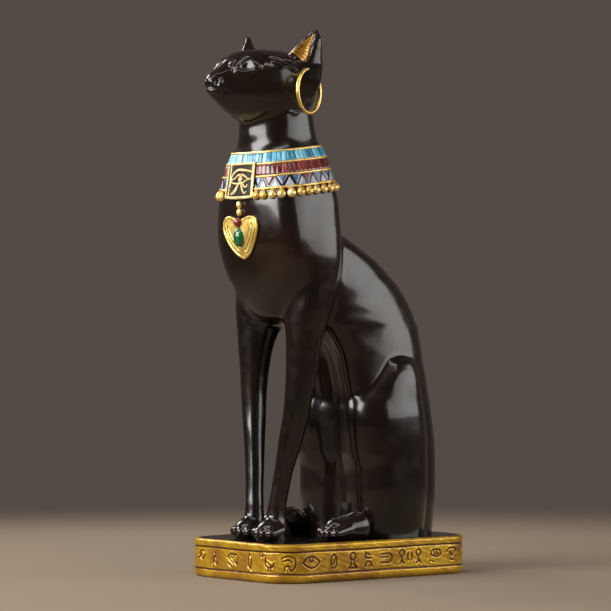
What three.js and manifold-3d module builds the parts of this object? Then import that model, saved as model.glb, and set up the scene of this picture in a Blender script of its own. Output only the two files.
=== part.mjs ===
// A seated cat figure on a low plinth, cast in one piece, with a wire hoop hanging in each ear.
//
// Millimetres, +Z up. The origin is the middle of the plinth's underside. The cat faces -Y and its left is +X.
// The cat is one smooth form, built from level and lengthwise sections that melt into each other, and skinned with
// a mesh whose points lie on it. Collar, plaque, pendant and eye rims are laid on that skin and joined to it.
import * as THREE from "three";
import { mergeVertices } from "three/addons/utils/BufferGeometryUtils.js";
import Module from "manifold-3d";

// The cat keeps its pose and proportions as shares of its own height, from the plinth's top to the ear tips
const FIGURE_HEIGHT = 236;
const FORM_HEIGHT = 236; // the height in which the section tables below are written
const FORM_FOOT = 18; // the level on which the paws stand in those tables

// Sizes of the plinth
const PLINTH_WIDTH = 78;
const PLINTH_LENGTH = 118;
const PLINTH_HEIGHT = 18;
const PLINTH_CORNER = 17;
const FOOT_ROUND = 2.2; // the rounded lower edge
const TOP_EASE = 1.2; // the eased upper edge
const RIM_LOW = 3.8; // plain rim under the incised band
const RIM_HIGH = 3.2; // plain rim over the incised band
const LINE_WIDTH = 0.9; // the incised line between rim and band
const LINE_DEPTH = 0.6;
const PAW_SINK = 3; // how far the cat's form runs down into the plinth

// Sizes of the collar. Heights are levels of the section tables, where the collar crosses the neck's own axis
const NECK_AXIS_Y = -31;
const COLLAR_TILT = 0.12; // the collar stands higher at the back, as a share of the way back
const CORD_LEVELS = [198.9, 193.7, 188.0, 182.4];
const CORD_WIDTH = 1.1; // a raised gold line
const CORD_PROUD = 1.2; // how far a gold line stands off the skin
const BAND_PROUD = 0.6; // how far a painted band stands off the skin
const BAND_STEP = 0.2; // the sloped side of a gold line
const BEAD_LEVEL = 179.4;
const BEAD_RADIUS = 2.05;
const BEAD_PITCH = 4.5;
const RELIEF_ROOT = 2.2; // how far laid-on pieces reach into the skin

// Sizes of the plaque on the chest
const PLAQUE_LEVEL = 184; // its middle
const PLAQUE_WIDTH = 20;
const PLAQUE_HEIGHT = 16.4;
const PLAQUE_FRAME = 1.6;
const PLAQUE_PROUD = 2.3;
const PLAQUE_GROUND = 1.5;
const FRAME_STEP = 0.25; // the sloped inner side of the frame

// Sizes of the pendant and the stones on it
const PENDANT_LEVEL = 157.9; // its middle
const PENDANT_WIDTH = 26;
const PENDANT_HEIGHT = 20.2;
const PENDANT_NOTCH = 1.8; // the notch between the lobes, down from their tops
const PENDANT_PROUD = 1.3;
const RED_STONE = 4.4; // across
const GREEN_STONE_WIDTH = 6.4;
const GREEN_STONE_HEIGHT = 8.8;
const CHAIN_BEAD = 3.2; // across

// Sizes of the eyes' rims and of the hoops
const EYE_RIM = 1.4; // across
const HOOP_OUTER = 22;
const HOOP_WIRE = 1.8;
const HOOP_TURN = 111; // degrees from +X of the left hoop's own plane
const EAR_PIERCING = [25.0, -32.4, 235.2]; // where the wire's middle crosses the left ear, in the tables' measure
const BORE_CLEARANCE = 0.6; // all round the wire

const EPS = 1e-6;
const K = FIGURE_HEIGHT / FORM_HEIGHT;
const rad = (degrees) => (degrees * Math.PI) / 180;
// The height above the underside of a level of the section tables
const rise = (level) => PLINTH_HEIGHT + (level - FORM_FOOT) * K;

// Level sections of neck and chest: height, centre x, centre y, half width, half depth, squareness
const CHEST = [
  [216, 0, -32.6, 17.2, 17.4, 2],
  [211, 0, -31.8, 17.4, 17.6, 2],
  [205, 0, -31.3, 17.9, 18.1, 2.05],
  [200, 0, -30.5, 19.2, 18.7, 2.3],
  [195, 0, -30.6, 21.8, 19.4, 2.6],
  [190, 0, -31, 24.2, 20, 2.8],
  [184, 0, -31, 26.2, 20.6, 3],
  [178, 0, -30.8, 27.8, 21.7, 3],
  [172, 0, -30.6, 28.9, 22.3, 3],
  [165, 0, -30.6, 29.9, 22.2, 3],
  [157, 0, -30.4, 30.4, 21.8, 3],
  [150, 0, -29.8, 30.2, 20.4, 3],
  [142, 0, -28.8, 28.4, 19.4, 2.9],
  [134, 0, -27.2, 24.8, 18.5, 2.6],
  [126, 0, -25.8, 20.6, 16.4, 2.3],
  [121, 0, -24.4, 16.6, 14, 2],
  [118, 0, -22.4, 13, 8, 2],
];
// Level sections of the back and belly, in the same order
const BARREL = [
  [166, 0, -17, 10, 9, 2],
  [160, 0, -15, 17, 17, 2],
  [153, 0, -10.7, 21, 24.4, 2],
  [147, 0, -5.6, 22, 29.5, 2],
  [141.5, 0, -2.2, 23, 32.7, 2],
  [135.8, 0, 1.6, 24, 35.2, 2],
  [130, 0, 5.2, 24.5, 36.2, 2],
  [124.5, 0, 8.2, 25, 36.6, 2],
  [118.8, 0, 12, 25.2, 35.4, 2],
  [115.6, 0, 16.4, 25, 32.2, 2],
  [112, 0, 19.6, 25, 29, 2],
  [106, 0, 23, 25, 26.3, 2],
  [99, 0, 25.2, 25.2, 25, 2],
  [87.6, 0, 28, 25.2, 24.8, 2],
  [76, 0, 29.6, 25.2, 25, 2.1],
  [60, 0, 31, 25.5, 25.3, 2.2],
  [40, 0, 31.4, 25, 24.9, 2.3],
  [18, 0, 30.8, 24, 23.2, 2.4],
  [10, 0, 30.8, 23, 22.2, 2.4],
];
// Level sections of one flank, from the belly's edge down to the haunch
const FLANK = [
  [126, 13.6, -2, 5, 8, 2],
  [119, 14.4, 2.4, 8.2, 17.4, 2],
  [114, 15, 7.2, 9.2, 19.8, 2],
  [108, 15.4, 11.2, 9.7, 20, 2],
  [102, 15.6, 14.2, 10, 20, 2],
  [92, 15.8, 16.2, 10.2, 19.8, 2],
  [86, 16, 17.4, 10.4, 19.8, 2],
  [78, 16, 18.6, 10.4, 19.8, 2],
  [70, 16, 19.2, 10.4, 19.4, 2],
  [58, 16, 20, 10, 18, 2],
];
// Level sections of one thigh
const THIGH = [
  [102.2, 24.2, 21.6, 2.2, 4.4, 2],
  [100.6, 24.2, 21.8, 4.6, 7.2, 2],
  [97, 24, 21.8, 6.8, 9.8, 2],
  [92, 23, 21.2, 9.3, 12.6, 2],
  [87, 21.6, 20.4, 11.4, 15, 2],
  [81, 20.2, 19.6, 13.4, 17.4, 2],
  [74, 18.8, 19.6, 15.6, 19.5, 2],
  [65, 18, 20.4, 16.6, 20.2, 2],
  [52, 18, 20.7, 16.6, 20.2, 2],
  [40, 18, 20.6, 16.2, 20, 2.1],
  [31, 18, 20.5, 15.6, 19.4, 2.1],
  [22, 17.8, 20.4, 14.8, 18.6, 2.2],
  [18, 17.8, 20.3, 14.4, 18.2, 2.2],
  [10, 17.8, 20.3, 14, 17.8, 2.2],
];
// Level sections of one front leg, before it is turned outward
const LEG = [
  [176, 17, -27.5, 5, 5, 2],
  [168, 18.8, -26.6, 9, 8.6, 2],
  [158, 19.6, -25.6, 11.4, 10.6, 2],
  [148, 19.8, -25.2, 12.2, 11.2, 2],
  [135, 19.3, -25.6, 12.2, 11.2, 2],
  [126, 18.8, -27, 11.6, 10.6, 2],
  [119, 18, -28.1, 10.8, 9.9, 2],
  [115, 17.8, -28.8, 10, 9.2, 2],
  [106, 18, -30.2, 8.2, 7.9, 2],
  [96, 17.8, -31, 6.9, 7.3, 2],
  [87, 17.2, -31.8, 6.2, 6.7, 2],
  [77, 16, -32.6, 5.7, 6.2, 2],
  [68, 14.4, -33.7, 5.2, 5.9, 2],
  [58, 12.6, -35, 4.75, 5.1, 2],
  [49, 10.8, -36.3, 4.4, 4.4, 2],
  [39, 9.4, -37.5, 4.2, 4.2, 2],
  [33, 8.4, -38.2, 4.3, 4.3, 2],
  [26, 8.2, -38.6, 4.9, 5, 2],
  [18, 8.2, -39, 6, 6, 2],
  [10, 8.2, -39, 6, 6, 2],
];
const LEG_TURN = 40; // degrees by which a leg's sections are turned outward
// Level sections of one ear, before it is turned outward
const EAR = [
  [254.3, 25.7, -28.8, 0.6, 0.6, 2],
  [252.5, 25.1, -29.1, 1.8, 1.4, 2],
  [251, 24.8, -29.3, 2.7, 1.8, 2],
  [249.5, 24.3, -29.6, 3.9, 2.4, 2],
  [248, 23.6, -29.9, 4.8, 3.1, 2],
  [246.4, 22.7, -30.2, 5.8, 3.9, 2],
  [243.6, 20.9, -30.6, 7.2, 5.2, 2],
  [240, 19.2, -31, 8.7, 6.8, 2],
  [237, 18.2, -31, 9.6, 8, 2],
  [231, 17.4, -31, 9.4, 8, 2],
  [222, 16, -31, 7, 6.6, 2],
];
// Level sections of the hollow in the ear's front, turned with it
const HOLLOW = [
  [251.4, 26.1, -30.5, 0.8, 0.9, 2],
  [248.5, 26.2, -32, 3, 1.9, 2],
  [244.5, 25.2, -34.2, 4.8, 3.2, 2],
  [241, 24.4, -35.7, 5.4, 4, 2.2],
  [238.9, 24, -36.4, 4, 3.8, 2.2],
];
const EAR_TURN = -45; // degrees by which the sections of ear and hollow are turned
// Upright sections of the head: y, centre height, half width, height above, depth below, squareness
const HEAD = [
  [-73.4, 230.2, 0.6, 0.6, 1, 2],
  [-72.6, 230, 2.4, 2.2, 3.4, 2],
  [-70.5, 229.8, 4.2, 3.8, 6, 2.1],
  [-67.5, 229.8, 5.8, 5.4, 8.6, 2.1],
  [-64, 230, 7.8, 7.8, 11.2, 2.1],
  [-60, 230, 11, 10.8, 13.8, 2.1],
  [-55, 229.8, 15, 13.6, 16.8, 2.1],
  [-49, 229.4, 18.8, 15.4, 18.8, 2.1],
  [-43, 229, 21.2, 16.2, 19, 2.15],
  [-37, 228.6, 22.2, 16.6, 18.6, 2.15],
  [-31, 228.2, 21.7, 16.6, 17.4, 2.1],
  [-26, 227.8, 19.6, 15.6, 16, 2.1],
  [-21, 227.2, 15.4, 12.8, 13.6, 2.05],
  [-17, 226.6, 10.6, 9, 10, 2],
  [-14, 226, 5, 4.6, 5.6, 2],
  [-13, 225.8, 1, 1, 1, 2],
];

// Positions of the front toes: tip x and y; and of the hind toes
const FRONT_TOES = [[2.9, -46.0], [6.5, -47.6], [10.2, -47.4], [13.6, -45.4]];
const HIND_TOES = [[19.4, -20.4], [22.8, -21.8], [26.4, -21.6], [29.6, -19.8]];
// The tail lies round the right flank: x, y, z, radius
const TAIL = [
  [-2, 50, 28, 5.0],
  [-14, 48.5, 24, 4.6],
  [-24.5, 42, 21.6, 4.4],
  [-32, 34, 21.6, 3.9],
  [-34.6, 18, 21.5, 3.6],
  [-34.6, 0, 21.4, 3.4],
  [-33.4, -12, 21.4, 3.2],
];

// A smooth run through one column of a station table, with no overshoot between stations
function curve(rows, column) {
  const sorted = [...rows].sort((a, b) => a[0] - b[0]);
  const t = sorted.map((r) => r[0]);
  const v = sorted.map((r) => r[column]);
  const n = t.length;
  const h = [];
  const d = [];
  for (let i = 0; i < n - 1; i++) {
    h.push(t[i + 1] - t[i]);
    d.push((v[i + 1] - v[i]) / h[i]);
  }
  const m = new Array(n).fill(0);
  m[0] = d[0];
  m[n - 1] = d[n - 2];
  for (let i = 1; i < n - 1; i++) {
    if (d[i - 1] * d[i] <= 0) continue;
    const w1 = 2 * h[i] + h[i - 1];
    const w2 = h[i] + 2 * h[i - 1];
    m[i] = (w1 + w2) / (w1 / d[i - 1] + w2 / d[i]);
  }
  return (asked) => {
    const q = Math.min(Math.max(asked, t[0]), t[n - 1]);
    let i = 0;
    while (i < n - 2 && q >= t[i + 1]) i++;
    const s = (q - t[i]) / h[i];
    const r = 1 - s;
    return (
      v[i] * (1 + 2 * s) * r * r +
      h[i] * m[i] * s * r * r +
      v[i + 1] * s * s * (3 - 2 * s) +
      h[i] * m[i + 1] * s * s * (s - 1)
    );
  };
}

// Two forms joined: their skins melt into each other over about k
function join(a, b, k) {
  const h = Math.min(Math.max(0.5 + (0.5 * (b - a)) / k, 0), 1);
  return b * (1 - h) + a * h - k * h * (1 - h);
}

// Form a with form b taken away, the edge eased over about k
const carve = (a, b, k) => -join(-a, b, k);

// About the distance to a section of half sizes wx and wy; squareness 2 is an ellipse
function oval(dx, dy, wx, wy, n) {
  const ax = Math.abs(dx / wx) + EPS;
  const ay = Math.abs(dy / wy) + EPS;
  const q = (ax ** n + ay ** n) ** (1 / n);
  const gx = (ax / q) ** (n - 1) / wx;
  const gy = (ay / q) ** (n - 1) / wy;
  return (q - 1) / Math.hypot(gx, gy);
}

// A form lofted through sections. along(x, y, z) gives the place on the loft's own axis and the two offsets from it
function loft(rows, level) {
  const sorted = [...rows].sort((a, b) => a[0] - b[0]);
  const low = sorted[0][0];
  const high = sorted[sorted.length - 1][0];
  const parts = [1, 2, 3, 4, 5].map((c) => curve(sorted, c));
  const step = 0.5;
  return (t, a, b) => {
    const at = (q) => level(parts, q, a, b);
    const held = Math.min(Math.max(t, low + step), high - step);
    const slope = (at(held + step) - at(held - step)) / (2 * step);
    const d = at(t) / Math.sqrt(1 + slope * slope);
    const over = Math.max(t - high, low - t);
    return over > 0 ? Math.hypot(Math.max(d, 0), over) : Math.max(d, over);
  };
}

// Level sections, all of them turned by an angle if one is given
function upright(rows, turn = 0) {
  const c = Math.cos(rad(turn));
  const s = Math.sin(rad(turn));
  const form = loft(rows, ([cx, cy, wx, wy, n], z, x, y) => {
    const dx = x - cx(z);
    const dy = y - cy(z);
    return oval(c * dx - s * dy, s * dx + c * dy, wx(z), wy(z), n(z));
  });
  return (x, y, z) => form(z, x, y);
}

function lengthwise(rows) {
  const form = loft(rows, ([cz, wx, up, down, n], y, x, z) => {
    const dz = z - cz(y);
    return oval(x, dz, wx(y), dz > 0 ? up(y) : down(y), n(y));
  });
  return (x, y, z) => form(y, x, z);
}

// An ellipsoid at c with radii r
function ball(x, y, z, c, r) {
  const dx = x - c[0];
  const dy = y - c[1];
  const dz = z - c[2];
  const q = Math.hypot(dx / r[0], dy / r[1], dz / r[2]);
  const g = Math.hypot(dx / r[0] ** 2, dy / r[1] ** 2, dz / r[2] ** 2);
  return (q * (q - 1)) / Math.max(g, EPS);
}

// A round bar from a to b whose radius runs from ra to rb
function bar(x, y, z, a, b, ra, rb) {
  const bx = b[0] - a[0];
  const by = b[1] - a[1];
  const bz = b[2] - a[2];
  const run = (x - a[0]) * bx + (y - a[1]) * by + (z - a[2]) * bz;
  const t = Math.min(Math.max(run / (bx * bx + by * by + bz * bz), 0), 1);
  const d = Math.hypot(x - a[0] - bx * t, y - a[1] - by * t, z - a[2] - bz * t);
  return d - (ra + (rb - ra) * t);
}

const chest = upright(CHEST);
const barrel = upright(BARREL);
const flank = upright(FLANK);
const thigh = upright(THIGH);
const leg = upright(LEG, LEG_TURN);
const ear = upright(EAR, EAR_TURN);
const hollow = upright(HOLLOW, EAR_TURN);
const head = lengthwise(HEAD);

// s is the distance from the middle plane: both sides of the cat are alike but for the tail
function frontPaw(s, y, z) {
  let d = ball(s, y, z, [8.2, -40.5, 21.0], [7.0, 9.0, 7.2]);
  for (const [tx, ty] of FRONT_TOES)
    d = join(d, bar(s, y, z, [tx * 0.75 + 2.2, -39.5, 22.5], [tx, ty, 21.3], 3.0, 2.55), 0.7);
  return d;
}

function hindPaw(s, y, z) {
  let d = bar(s, y, z, [24.6, -4.4, 23.4], [24.4, -15.5, 22.4], 7.4, 5.9);
  for (const [tx, ty] of HIND_TOES)
    d = join(d, bar(s, y, z, [tx * 0.8 + 5.0, -12.5, 22.6], [tx, ty, 21.2], 3.2, 2.5), 0.7);
  return d;
}

function tail(x, y, z) {
  let d = Infinity;
  for (let i = 0; i < TAIL.length - 1; i++) {
    const [ax, ay, az, ra] = TAIL[i];
    const [bx, by, bz, rb] = TAIL[i + 1];
    d = Math.min(d, bar(x, y, z, [ax, ay, az], [bx, by, bz], ra, rb));
  }
  return d;
}

// The head: a loft whose underside is planed off from throat to jaw, with the eyeballs raised on it
const JAW_PLANE = [0.505, -0.513, -0.694, 117.9];
const EYEBALL = [12.6, -54.4, 236.0];
const EYEBALL_RADII = [6.2, 4.6, 4.4];

function skull(s, y, z) {
  const [a, b, c, e] = JAW_PLANE;
  const jaw = a * s + b * y + c * z + e;
  const d = -join(-head(s, y, z), -jaw, 3.0);
  return join(d, ball(s, y, z, EYEBALL, EYEBALL_RADII), 1.5);
}

// Eased from 0 at low to 1 at high
function rampUp(value, low, high) {
  const t = Math.min(Math.max((value - low) / (high - low), 0), 1);
  return t * t * (3 - 2 * t);
}

// How softly the haunch melts into the body: crisp on top and behind, wide between the two haunches
const haunchEase = (y, z) => 1.6 + 8.4 * rampUp(-y, -20, -8) * rampUp(-z, -90, -78);

// How softly the flanks melt into the belly: widest towards the middle
const flankEase = (s) => 4.0 + 9.0 * rampUp(-s, -16, -6);

// The whole cat in the tables' measure
function catForm(x, y, z) {
  const s = Math.abs(x);
  let d = join(chest(x, y, z), barrel(x, y, z), 5.0);
  if (z < 132) d = join(d, flank(s, y, z), flankEase(s));
  if (z < 182) d = join(d, leg(s, y, z), 5.0);
  if (z < 45) d = join(d, frontPaw(s, y, z), 1.6);
  if (z < 108) d = join(d, thigh(s, y, z), haunchEase(y, z));
  if (z < 45) {
    d = join(d, hindPaw(s, y, z), 1.4);
    d = join(d, tail(x, y, z), 2.0);
  }
  if (z > 195) {
    const top = carve(join(skull(s, y, z), ear(s, y, z), 2.0), hollow(s, y, z), 0.6);
    d = join(d, top, 1.6);
  }
  return d;
}

// The whole cat at its real size on the plinth
const cat = (x, y, z) => K * catForm(x / K, y / K, FORM_FOOT + (z - PLINTH_HEIGHT) / K);

const slopeAt = (field, p, h = 0.05) => [
  (field(p[0] + h, p[1], p[2]) - field(p[0] - h, p[1], p[2])) / (2 * h),
  (field(p[0], p[1] + h, p[2]) - field(p[0], p[1] - h, p[2])) / (2 * h),
  (field(p[0], p[1], p[2] + h) - field(p[0], p[1], p[2] - h)) / (2 * h),
];

// A closed mesh from its points and faces
function meshOf(points, faces) {
  const g = new THREE.BufferGeometry();
  g.setAttribute("position", new THREE.Float32BufferAttribute(points.flat(), 3));
  g.setIndex(faces.flat());
  return g;
}

// Where the corners of a grid square are inside and outside by turns, the skin would touch itself there, so the
// outer corner that lies nearest to the skin is filled
function settle(value, counts, at) {
  const [nx, ny, nz] = counts;
  const squares = [[[1, 0, 0], [0, 1, 0]], [[0, 1, 0], [0, 0, 1]], [[0, 0, 1], [1, 0, 0]]];
  for (let changed = true; changed; ) {
    changed = false;
    for (let i = 0; i < nx - 1; i++)
      for (let j = 0; j < ny - 1; j++)
        for (let k = 0; k < nz - 1; k++)
          for (const [p, q] of squares) {
            const loop = [
              at(i, j, k),
              at(i + p[0], j + p[1], k + p[2]),
              at(i + p[0] + q[0], j + p[1] + q[1], k + p[2] + q[2]),
              at(i + q[0], j + q[1], k + q[2]),
            ];
            const [a, b, c, d] = loop.map((n) => value[n] < 0);
            if (a !== c || b !== d || a === b) continue;
            const outer = loop.filter((n) => value[n] >= 0);
            value[value[outer[0]] < value[outer[1]] ? outer[0] : outer[1]] = -0.01;
            changed = true;
          }
  }
}

// The skin of a field on a grid of lines: one point in each cell that the skin crosses, one four-sided face for each
// grid edge that it crosses, and every point then moved along the field's slope until it lies on the skin
function skin(field, xs, ys, zs) {
  const [nx, ny, nz] = [xs.length, ys.length, zs.length];
  const value = new Float64Array(nx * ny * nz);
  const at = (i, j, k) => (i * ny + j) * nz + k;
  for (let i = 0; i < nx; i++)
    for (let j = 0; j < ny; j++)
      for (let k = 0; k < nz; k++) value[at(i, j, k)] = field(xs[i], ys[j], zs[k]);
  settle(value, [nx, ny, nz], at);
  const corners = [0, 1, 2, 3, 4, 5, 6, 7].map((c) => [c & 1, (c >> 1) & 1, (c >> 2) & 1]);
  const edges = [];
  for (let a = 0; a < 8; a++)
    for (const bit of [1, 2, 4]) if (!(a & bit)) edges.push([corners[a], corners[a | bit]]);
  const cell = new Int32Array(nx * ny * nz).fill(-1);
  const points = [];
  for (let i = 0; i < nx - 1; i++)
    for (let j = 0; j < ny - 1; j++)
      for (let k = 0; k < nz - 1; k++) {
        const sum = [0, 0, 0];
        let count = 0;
        for (const [p, q] of edges) {
          const fp = value[at(i + p[0], j + p[1], k + p[2])];
          const fq = value[at(i + q[0], j + q[1], k + q[2])];
          if (fp < 0 === fq < 0) continue;
          const t = fp / (fp - fq);
          const place = (c) => [xs[i + c[0]], ys[j + c[1]], zs[k + c[2]]];
          const a = place(p);
          const b = place(q);
          for (let c = 0; c < 3; c++) sum[c] += a[c] + (b[c] - a[c]) * t;
          count++;
        }
        if (!count) continue;
        cell[at(i, j, k)] = points.length;
        points.push(sum.map((v) => v / count));
      }
  const size = (lines, v) => {
    const i = Math.min(Math.max(lines.findIndex((w) => w > v), 1), lines.length - 1);
    return lines[i] - lines[i - 1];
  };
  for (const p of points) {
    const reach = 0.35 * Math.min(size(xs, p[0]), size(ys, p[1]), size(zs, p[2]));
    for (let round = 0; round < 4; round++) {
      const g = slopeAt(field, p);
      const steep = Math.max(g[0] ** 2 + g[1] ** 2 + g[2] ** 2, 0.2);
      const move = Math.min(Math.max(field(...p) / steep, -reach), reach);
      for (let c = 0; c < 3; c++) p[c] -= move * g[c];
    }
  }
  const faces = [];
  const gap = (a, b) => Math.hypot(a[0] - b[0], a[1] - b[1], a[2] - b[2]);
  const face = (loop, inner) => {
    const [a, b, c, d] = inner ? loop : [...loop].reverse();
    const short = gap(points[a], points[c]) <= gap(points[b], points[d]);
    faces.push(...(short ? [[a, b, c], [a, c, d]] : [[b, c, d], [b, d, a]]));
  };
  for (let i = 1; i < nx - 1; i++)
    for (let j = 1; j < ny - 1; j++)
      for (let k = 1; k < nz - 1; k++) {
        const inner = value[at(i, j, k)] < 0;
        const c = (a, b, e) => cell[at(i - a, j - b, k - e)];
        if (inner !== value[at(i + 1, j, k)] < 0) face([c(0, 1, 1), c(0, 0, 1), c(0, 0, 0), c(0, 1, 0)], inner);
        if (inner !== value[at(i, j + 1, k)] < 0) face([c(1, 0, 1), c(1, 0, 0), c(0, 0, 0), c(0, 0, 1)], inner);
        if (inner !== value[at(i, j, k + 1)] < 0) face([c(1, 1, 0), c(0, 1, 0), c(0, 0, 0), c(1, 0, 0)], inner);
      }
  return meshOf(points, faces);
}

// Takes points out of a closed mesh until about a given number of faces is left, the flattest places first. Each
// point keeps a sum of the planes that met there, and an edge is drawn together where that sum says it costs least
function thinned(geometry, target) {
  const pos = geometry.attributes.position.array;
  const points = [];
  for (let i = 0; i < pos.length; i += 3) points.push([pos[i], pos[i + 1], pos[i + 2]]);
  const index = geometry.index.array;
  const faces = [];
  for (let i = 0; i < index.length; i += 3) faces.push([index[i], index[i + 1], index[i + 2]]);
  const around = points.map(() => new Set());
  faces.forEach((f, n) => f.forEach((v) => around[v].add(n)));
  const cross = (a, b, c) => {
    const u = [b[0] - a[0], b[1] - a[1], b[2] - a[2]];
    const v = [c[0] - a[0], c[1] - a[1], c[2] - a[2]];
    return [u[1] * v[2] - u[2] * v[1], u[2] * v[0] - u[0] * v[2], u[0] * v[1] - u[1] * v[0]];
  };
  const planes = points.map(() => new Float64Array(10));
  for (const [a, b, c] of faces) {
    const n = cross(points[a], points[b], points[c]);
    const size = Math.hypot(...n);
    if (size < 1e-9) continue;
    const [x, y, z] = n.map((v) => v / size);
    const w = -(x * points[a][0] + y * points[a][1] + z * points[a][2]);
    const terms = [x * x, x * y, x * z, x * w, y * y, y * z, y * w, z * z, z * w, w * w];
    for (const v of [a, b, c]) terms.forEach((t, i) => (planes[v][i] += (t * size) / 2));
  }
  const misfit = (q, [x, y, z]) =>
    q[0] * x * x + 2 * q[1] * x * y + 2 * q[2] * x * z + 2 * q[3] * x + q[4] * y * y +
    2 * q[5] * y * z + 2 * q[6] * y + q[7] * z * z + 2 * q[8] * z + q[9];
  const sum = (a, b) => planes[a].map((v, i) => v + planes[b][i]);
  // The point that the planes' sum likes best, held near the middle of the edge where they leave it free
  const best = (q, a, b) => {
    const mid = points[a].map((v, c) => (v + points[b][c]) / 2);
    const hold = 1e-3 * (q[0] + q[4] + q[7]) + 1e-9;
    const [m0, m1, m2, m4, m5, m7] = [q[0] + hold, q[1], q[2], q[4] + hold, q[5], q[7] + hold];
    const r = [-q[3] + hold * mid[0], -q[6] + hold * mid[1], -q[8] + hold * mid[2]];
    const det = m0 * (m4 * m7 - m5 * m5) - m1 * (m1 * m7 - m5 * m2) + m2 * (m1 * m5 - m4 * m2);
    return [
      (r[0] * (m4 * m7 - m5 * m5) - m1 * (r[1] * m7 - m5 * r[2]) + m2 * (r[1] * m5 - m4 * r[2])) / det,
      (m0 * (r[1] * m7 - m5 * r[2]) - r[0] * (m1 * m7 - m5 * m2) + m2 * (m1 * r[2] - r[1] * m2)) / det,
      (m0 * (m4 * r[2] - r[1] * m5) - m1 * (m1 * r[2] - r[1] * m2) + r[0] * (m1 * m5 - m4 * m2)) / det,
    ];
  };
  const stamp = new Int32Array(points.length);
  const heap = [];
  const push = (item) => {
    let i = heap.push(item) - 1;
    while (i > 0) {
      const up = (i - 1) >> 1;
      if (heap[up][0] <= heap[i][0]) break;
      [heap[up], heap[i]] = [heap[i], heap[up]];
      i = up;
    }
  };
  const pop = () => {
    const top = heap[0];
    const last = heap.pop();
    if (heap.length) {
      heap[0] = last;
      let i = 0;
      for (;;) {
        let low = 2 * i + 1;
        if (low >= heap.length) break;
        if (low + 1 < heap.length && heap[low + 1][0] < heap[low][0]) low++;
        if (heap[i][0] <= heap[low][0]) break;
        [heap[low], heap[i]] = [heap[i], heap[low]];
        i = low;
      }
    }
    return top;
  };
  const offer = (a, b) => {
    const q = sum(a, b);
    const p = best(q, a, b);
    const run = Math.hypot(...points[a].map((v, c) => v - points[b][c]));
    push([misfit(q, p) + 1e-4 * run ** 4, a, b, stamp[a], stamp[b], p]);
  };
  const neighbours = (v) => {
    const out = new Set();
    for (const f of around[v]) for (const w of faces[f]) if (w !== v) out.add(w);
    return out;
  };
  points.forEach((_, a) => {
    for (const b of neighbours(a)) if (a < b) offer(a, b);
  });
  let left = faces.length;
  while (left > target && heap.length) {
    const [, a, b, sa, sb, p] = pop();
    if (stamp[a] !== sa || stamp[b] !== sb) continue;
    const shared = [...neighbours(a)].filter((v) => neighbours(b).has(v));
    const gone = [...around[a]].filter((f) => around[b].has(f));
    if (shared.length !== 2 || gone.length !== 2) continue;
    const kept = [...around[a], ...around[b]].filter((f) => !gone.includes(f));
    const turns = kept.some((f) => {
      const before = cross(...faces[f].map((v) => points[v]));
      const after = cross(...faces[f].map((v) => (v === a || v === b ? p : points[v])));
      const dot = before[0] * after[0] + before[1] * after[1] + before[2] * after[2];
      const corners = faces[f].map((v) => (v === a || v === b ? p : points[v]));
      const longest = Math.max(...[0, 1, 2].map((i) => Math.hypot(...corners[i].map((v, c) => v - corners[(i + 1) % 3][c]))));
      return dot < 0.5 * Math.hypot(...before) * Math.hypot(...after) || Math.hypot(...after) < 0.12 * longest * longest;
    });
    if (turns) continue;
    planes[a] = sum(a, b);
    points[a] = p;
    for (const f of gone) {
      for (const v of faces[f]) around[v].delete(f);
      faces[f] = null;
    }
    for (const f of around[b]) {
      faces[f] = faces[f].map((v) => (v === b ? a : v));
      around[a].add(f);
    }
    around[b].clear();
    stamp[b] = -1;
    stamp[a]++;
    left -= 2;
    for (const v of neighbours(a)) offer(Math.min(a, v), Math.max(a, v));
  }
  const used = new Map();
  const out = [];
  const loops = faces.filter(Boolean).map((f) =>
    f.map((v) => {
      if (!used.has(v)) {
        used.set(v, out.length);
        out.push(points[v]);
      }
      return used.get(v);
    }),
  );
  return meshOf(out, loops);
}

// Grid lines from one place to the next at about a given spacing
function lines(stops) {
  const out = [stops[0][0]];
  for (let i = 1; i < stops.length; i++) {
    const [end, spacing] = stops[i];
    const start = out[out.length - 1];
    const count = Math.max(1, Math.round((end - start) / spacing));
    for (let k = 1; k <= count; k++) out.push(start + ((end - start) * k) / count);
  }
  return out;
}

// The distance from an inner point along a direction to where the field reaches a level
function reachTo(field, from, toward, level, far) {
  let near = 0;
  let end = far;
  for (let i = 0; i < 40; i++) {
    const mid = (near + end) / 2;
    const p = from.map((v, c) => v + toward[c] * mid);
    if (field(...p) < level) near = mid;
    else end = mid;
  }
  return (near + end) / 2;
}

const wasm = await Module();
wasm.setup();

// A closed mesh as a solid. Classes of three.js repeat points along their seams, so those are merged first
function solidOf(geometry) {
  const bare = geometry.clone();
  const seamed = bare.hasAttribute("uv");
  bare.deleteAttribute("normal");
  bare.deleteAttribute("uv");
  const merged = seamed ? mergeVertices(bare, 1e-4) : bare;
  return new wasm.Manifold(
    new wasm.Mesh({
      numProp: 3,
      vertProperties: merged.attributes.position.array,
      triVerts: new Uint32Array(merged.index.array),
    }),
  );
}

function geometryOf(solid) {
  const m = solid.getMesh();
  const points = [];
  for (let i = 0; i < m.numVert; i++) points.push(...m.vertProperties.subarray(i * m.numProp, i * m.numProp + 3));
  const g = new THREE.BufferGeometry();
  g.setAttribute("position", new THREE.Float32BufferAttribute(points, 3));
  g.setIndex(new THREE.BufferAttribute(new Uint32Array(m.triVerts), 1));
  g.computeVertexNormals();
  return g;
}

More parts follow.
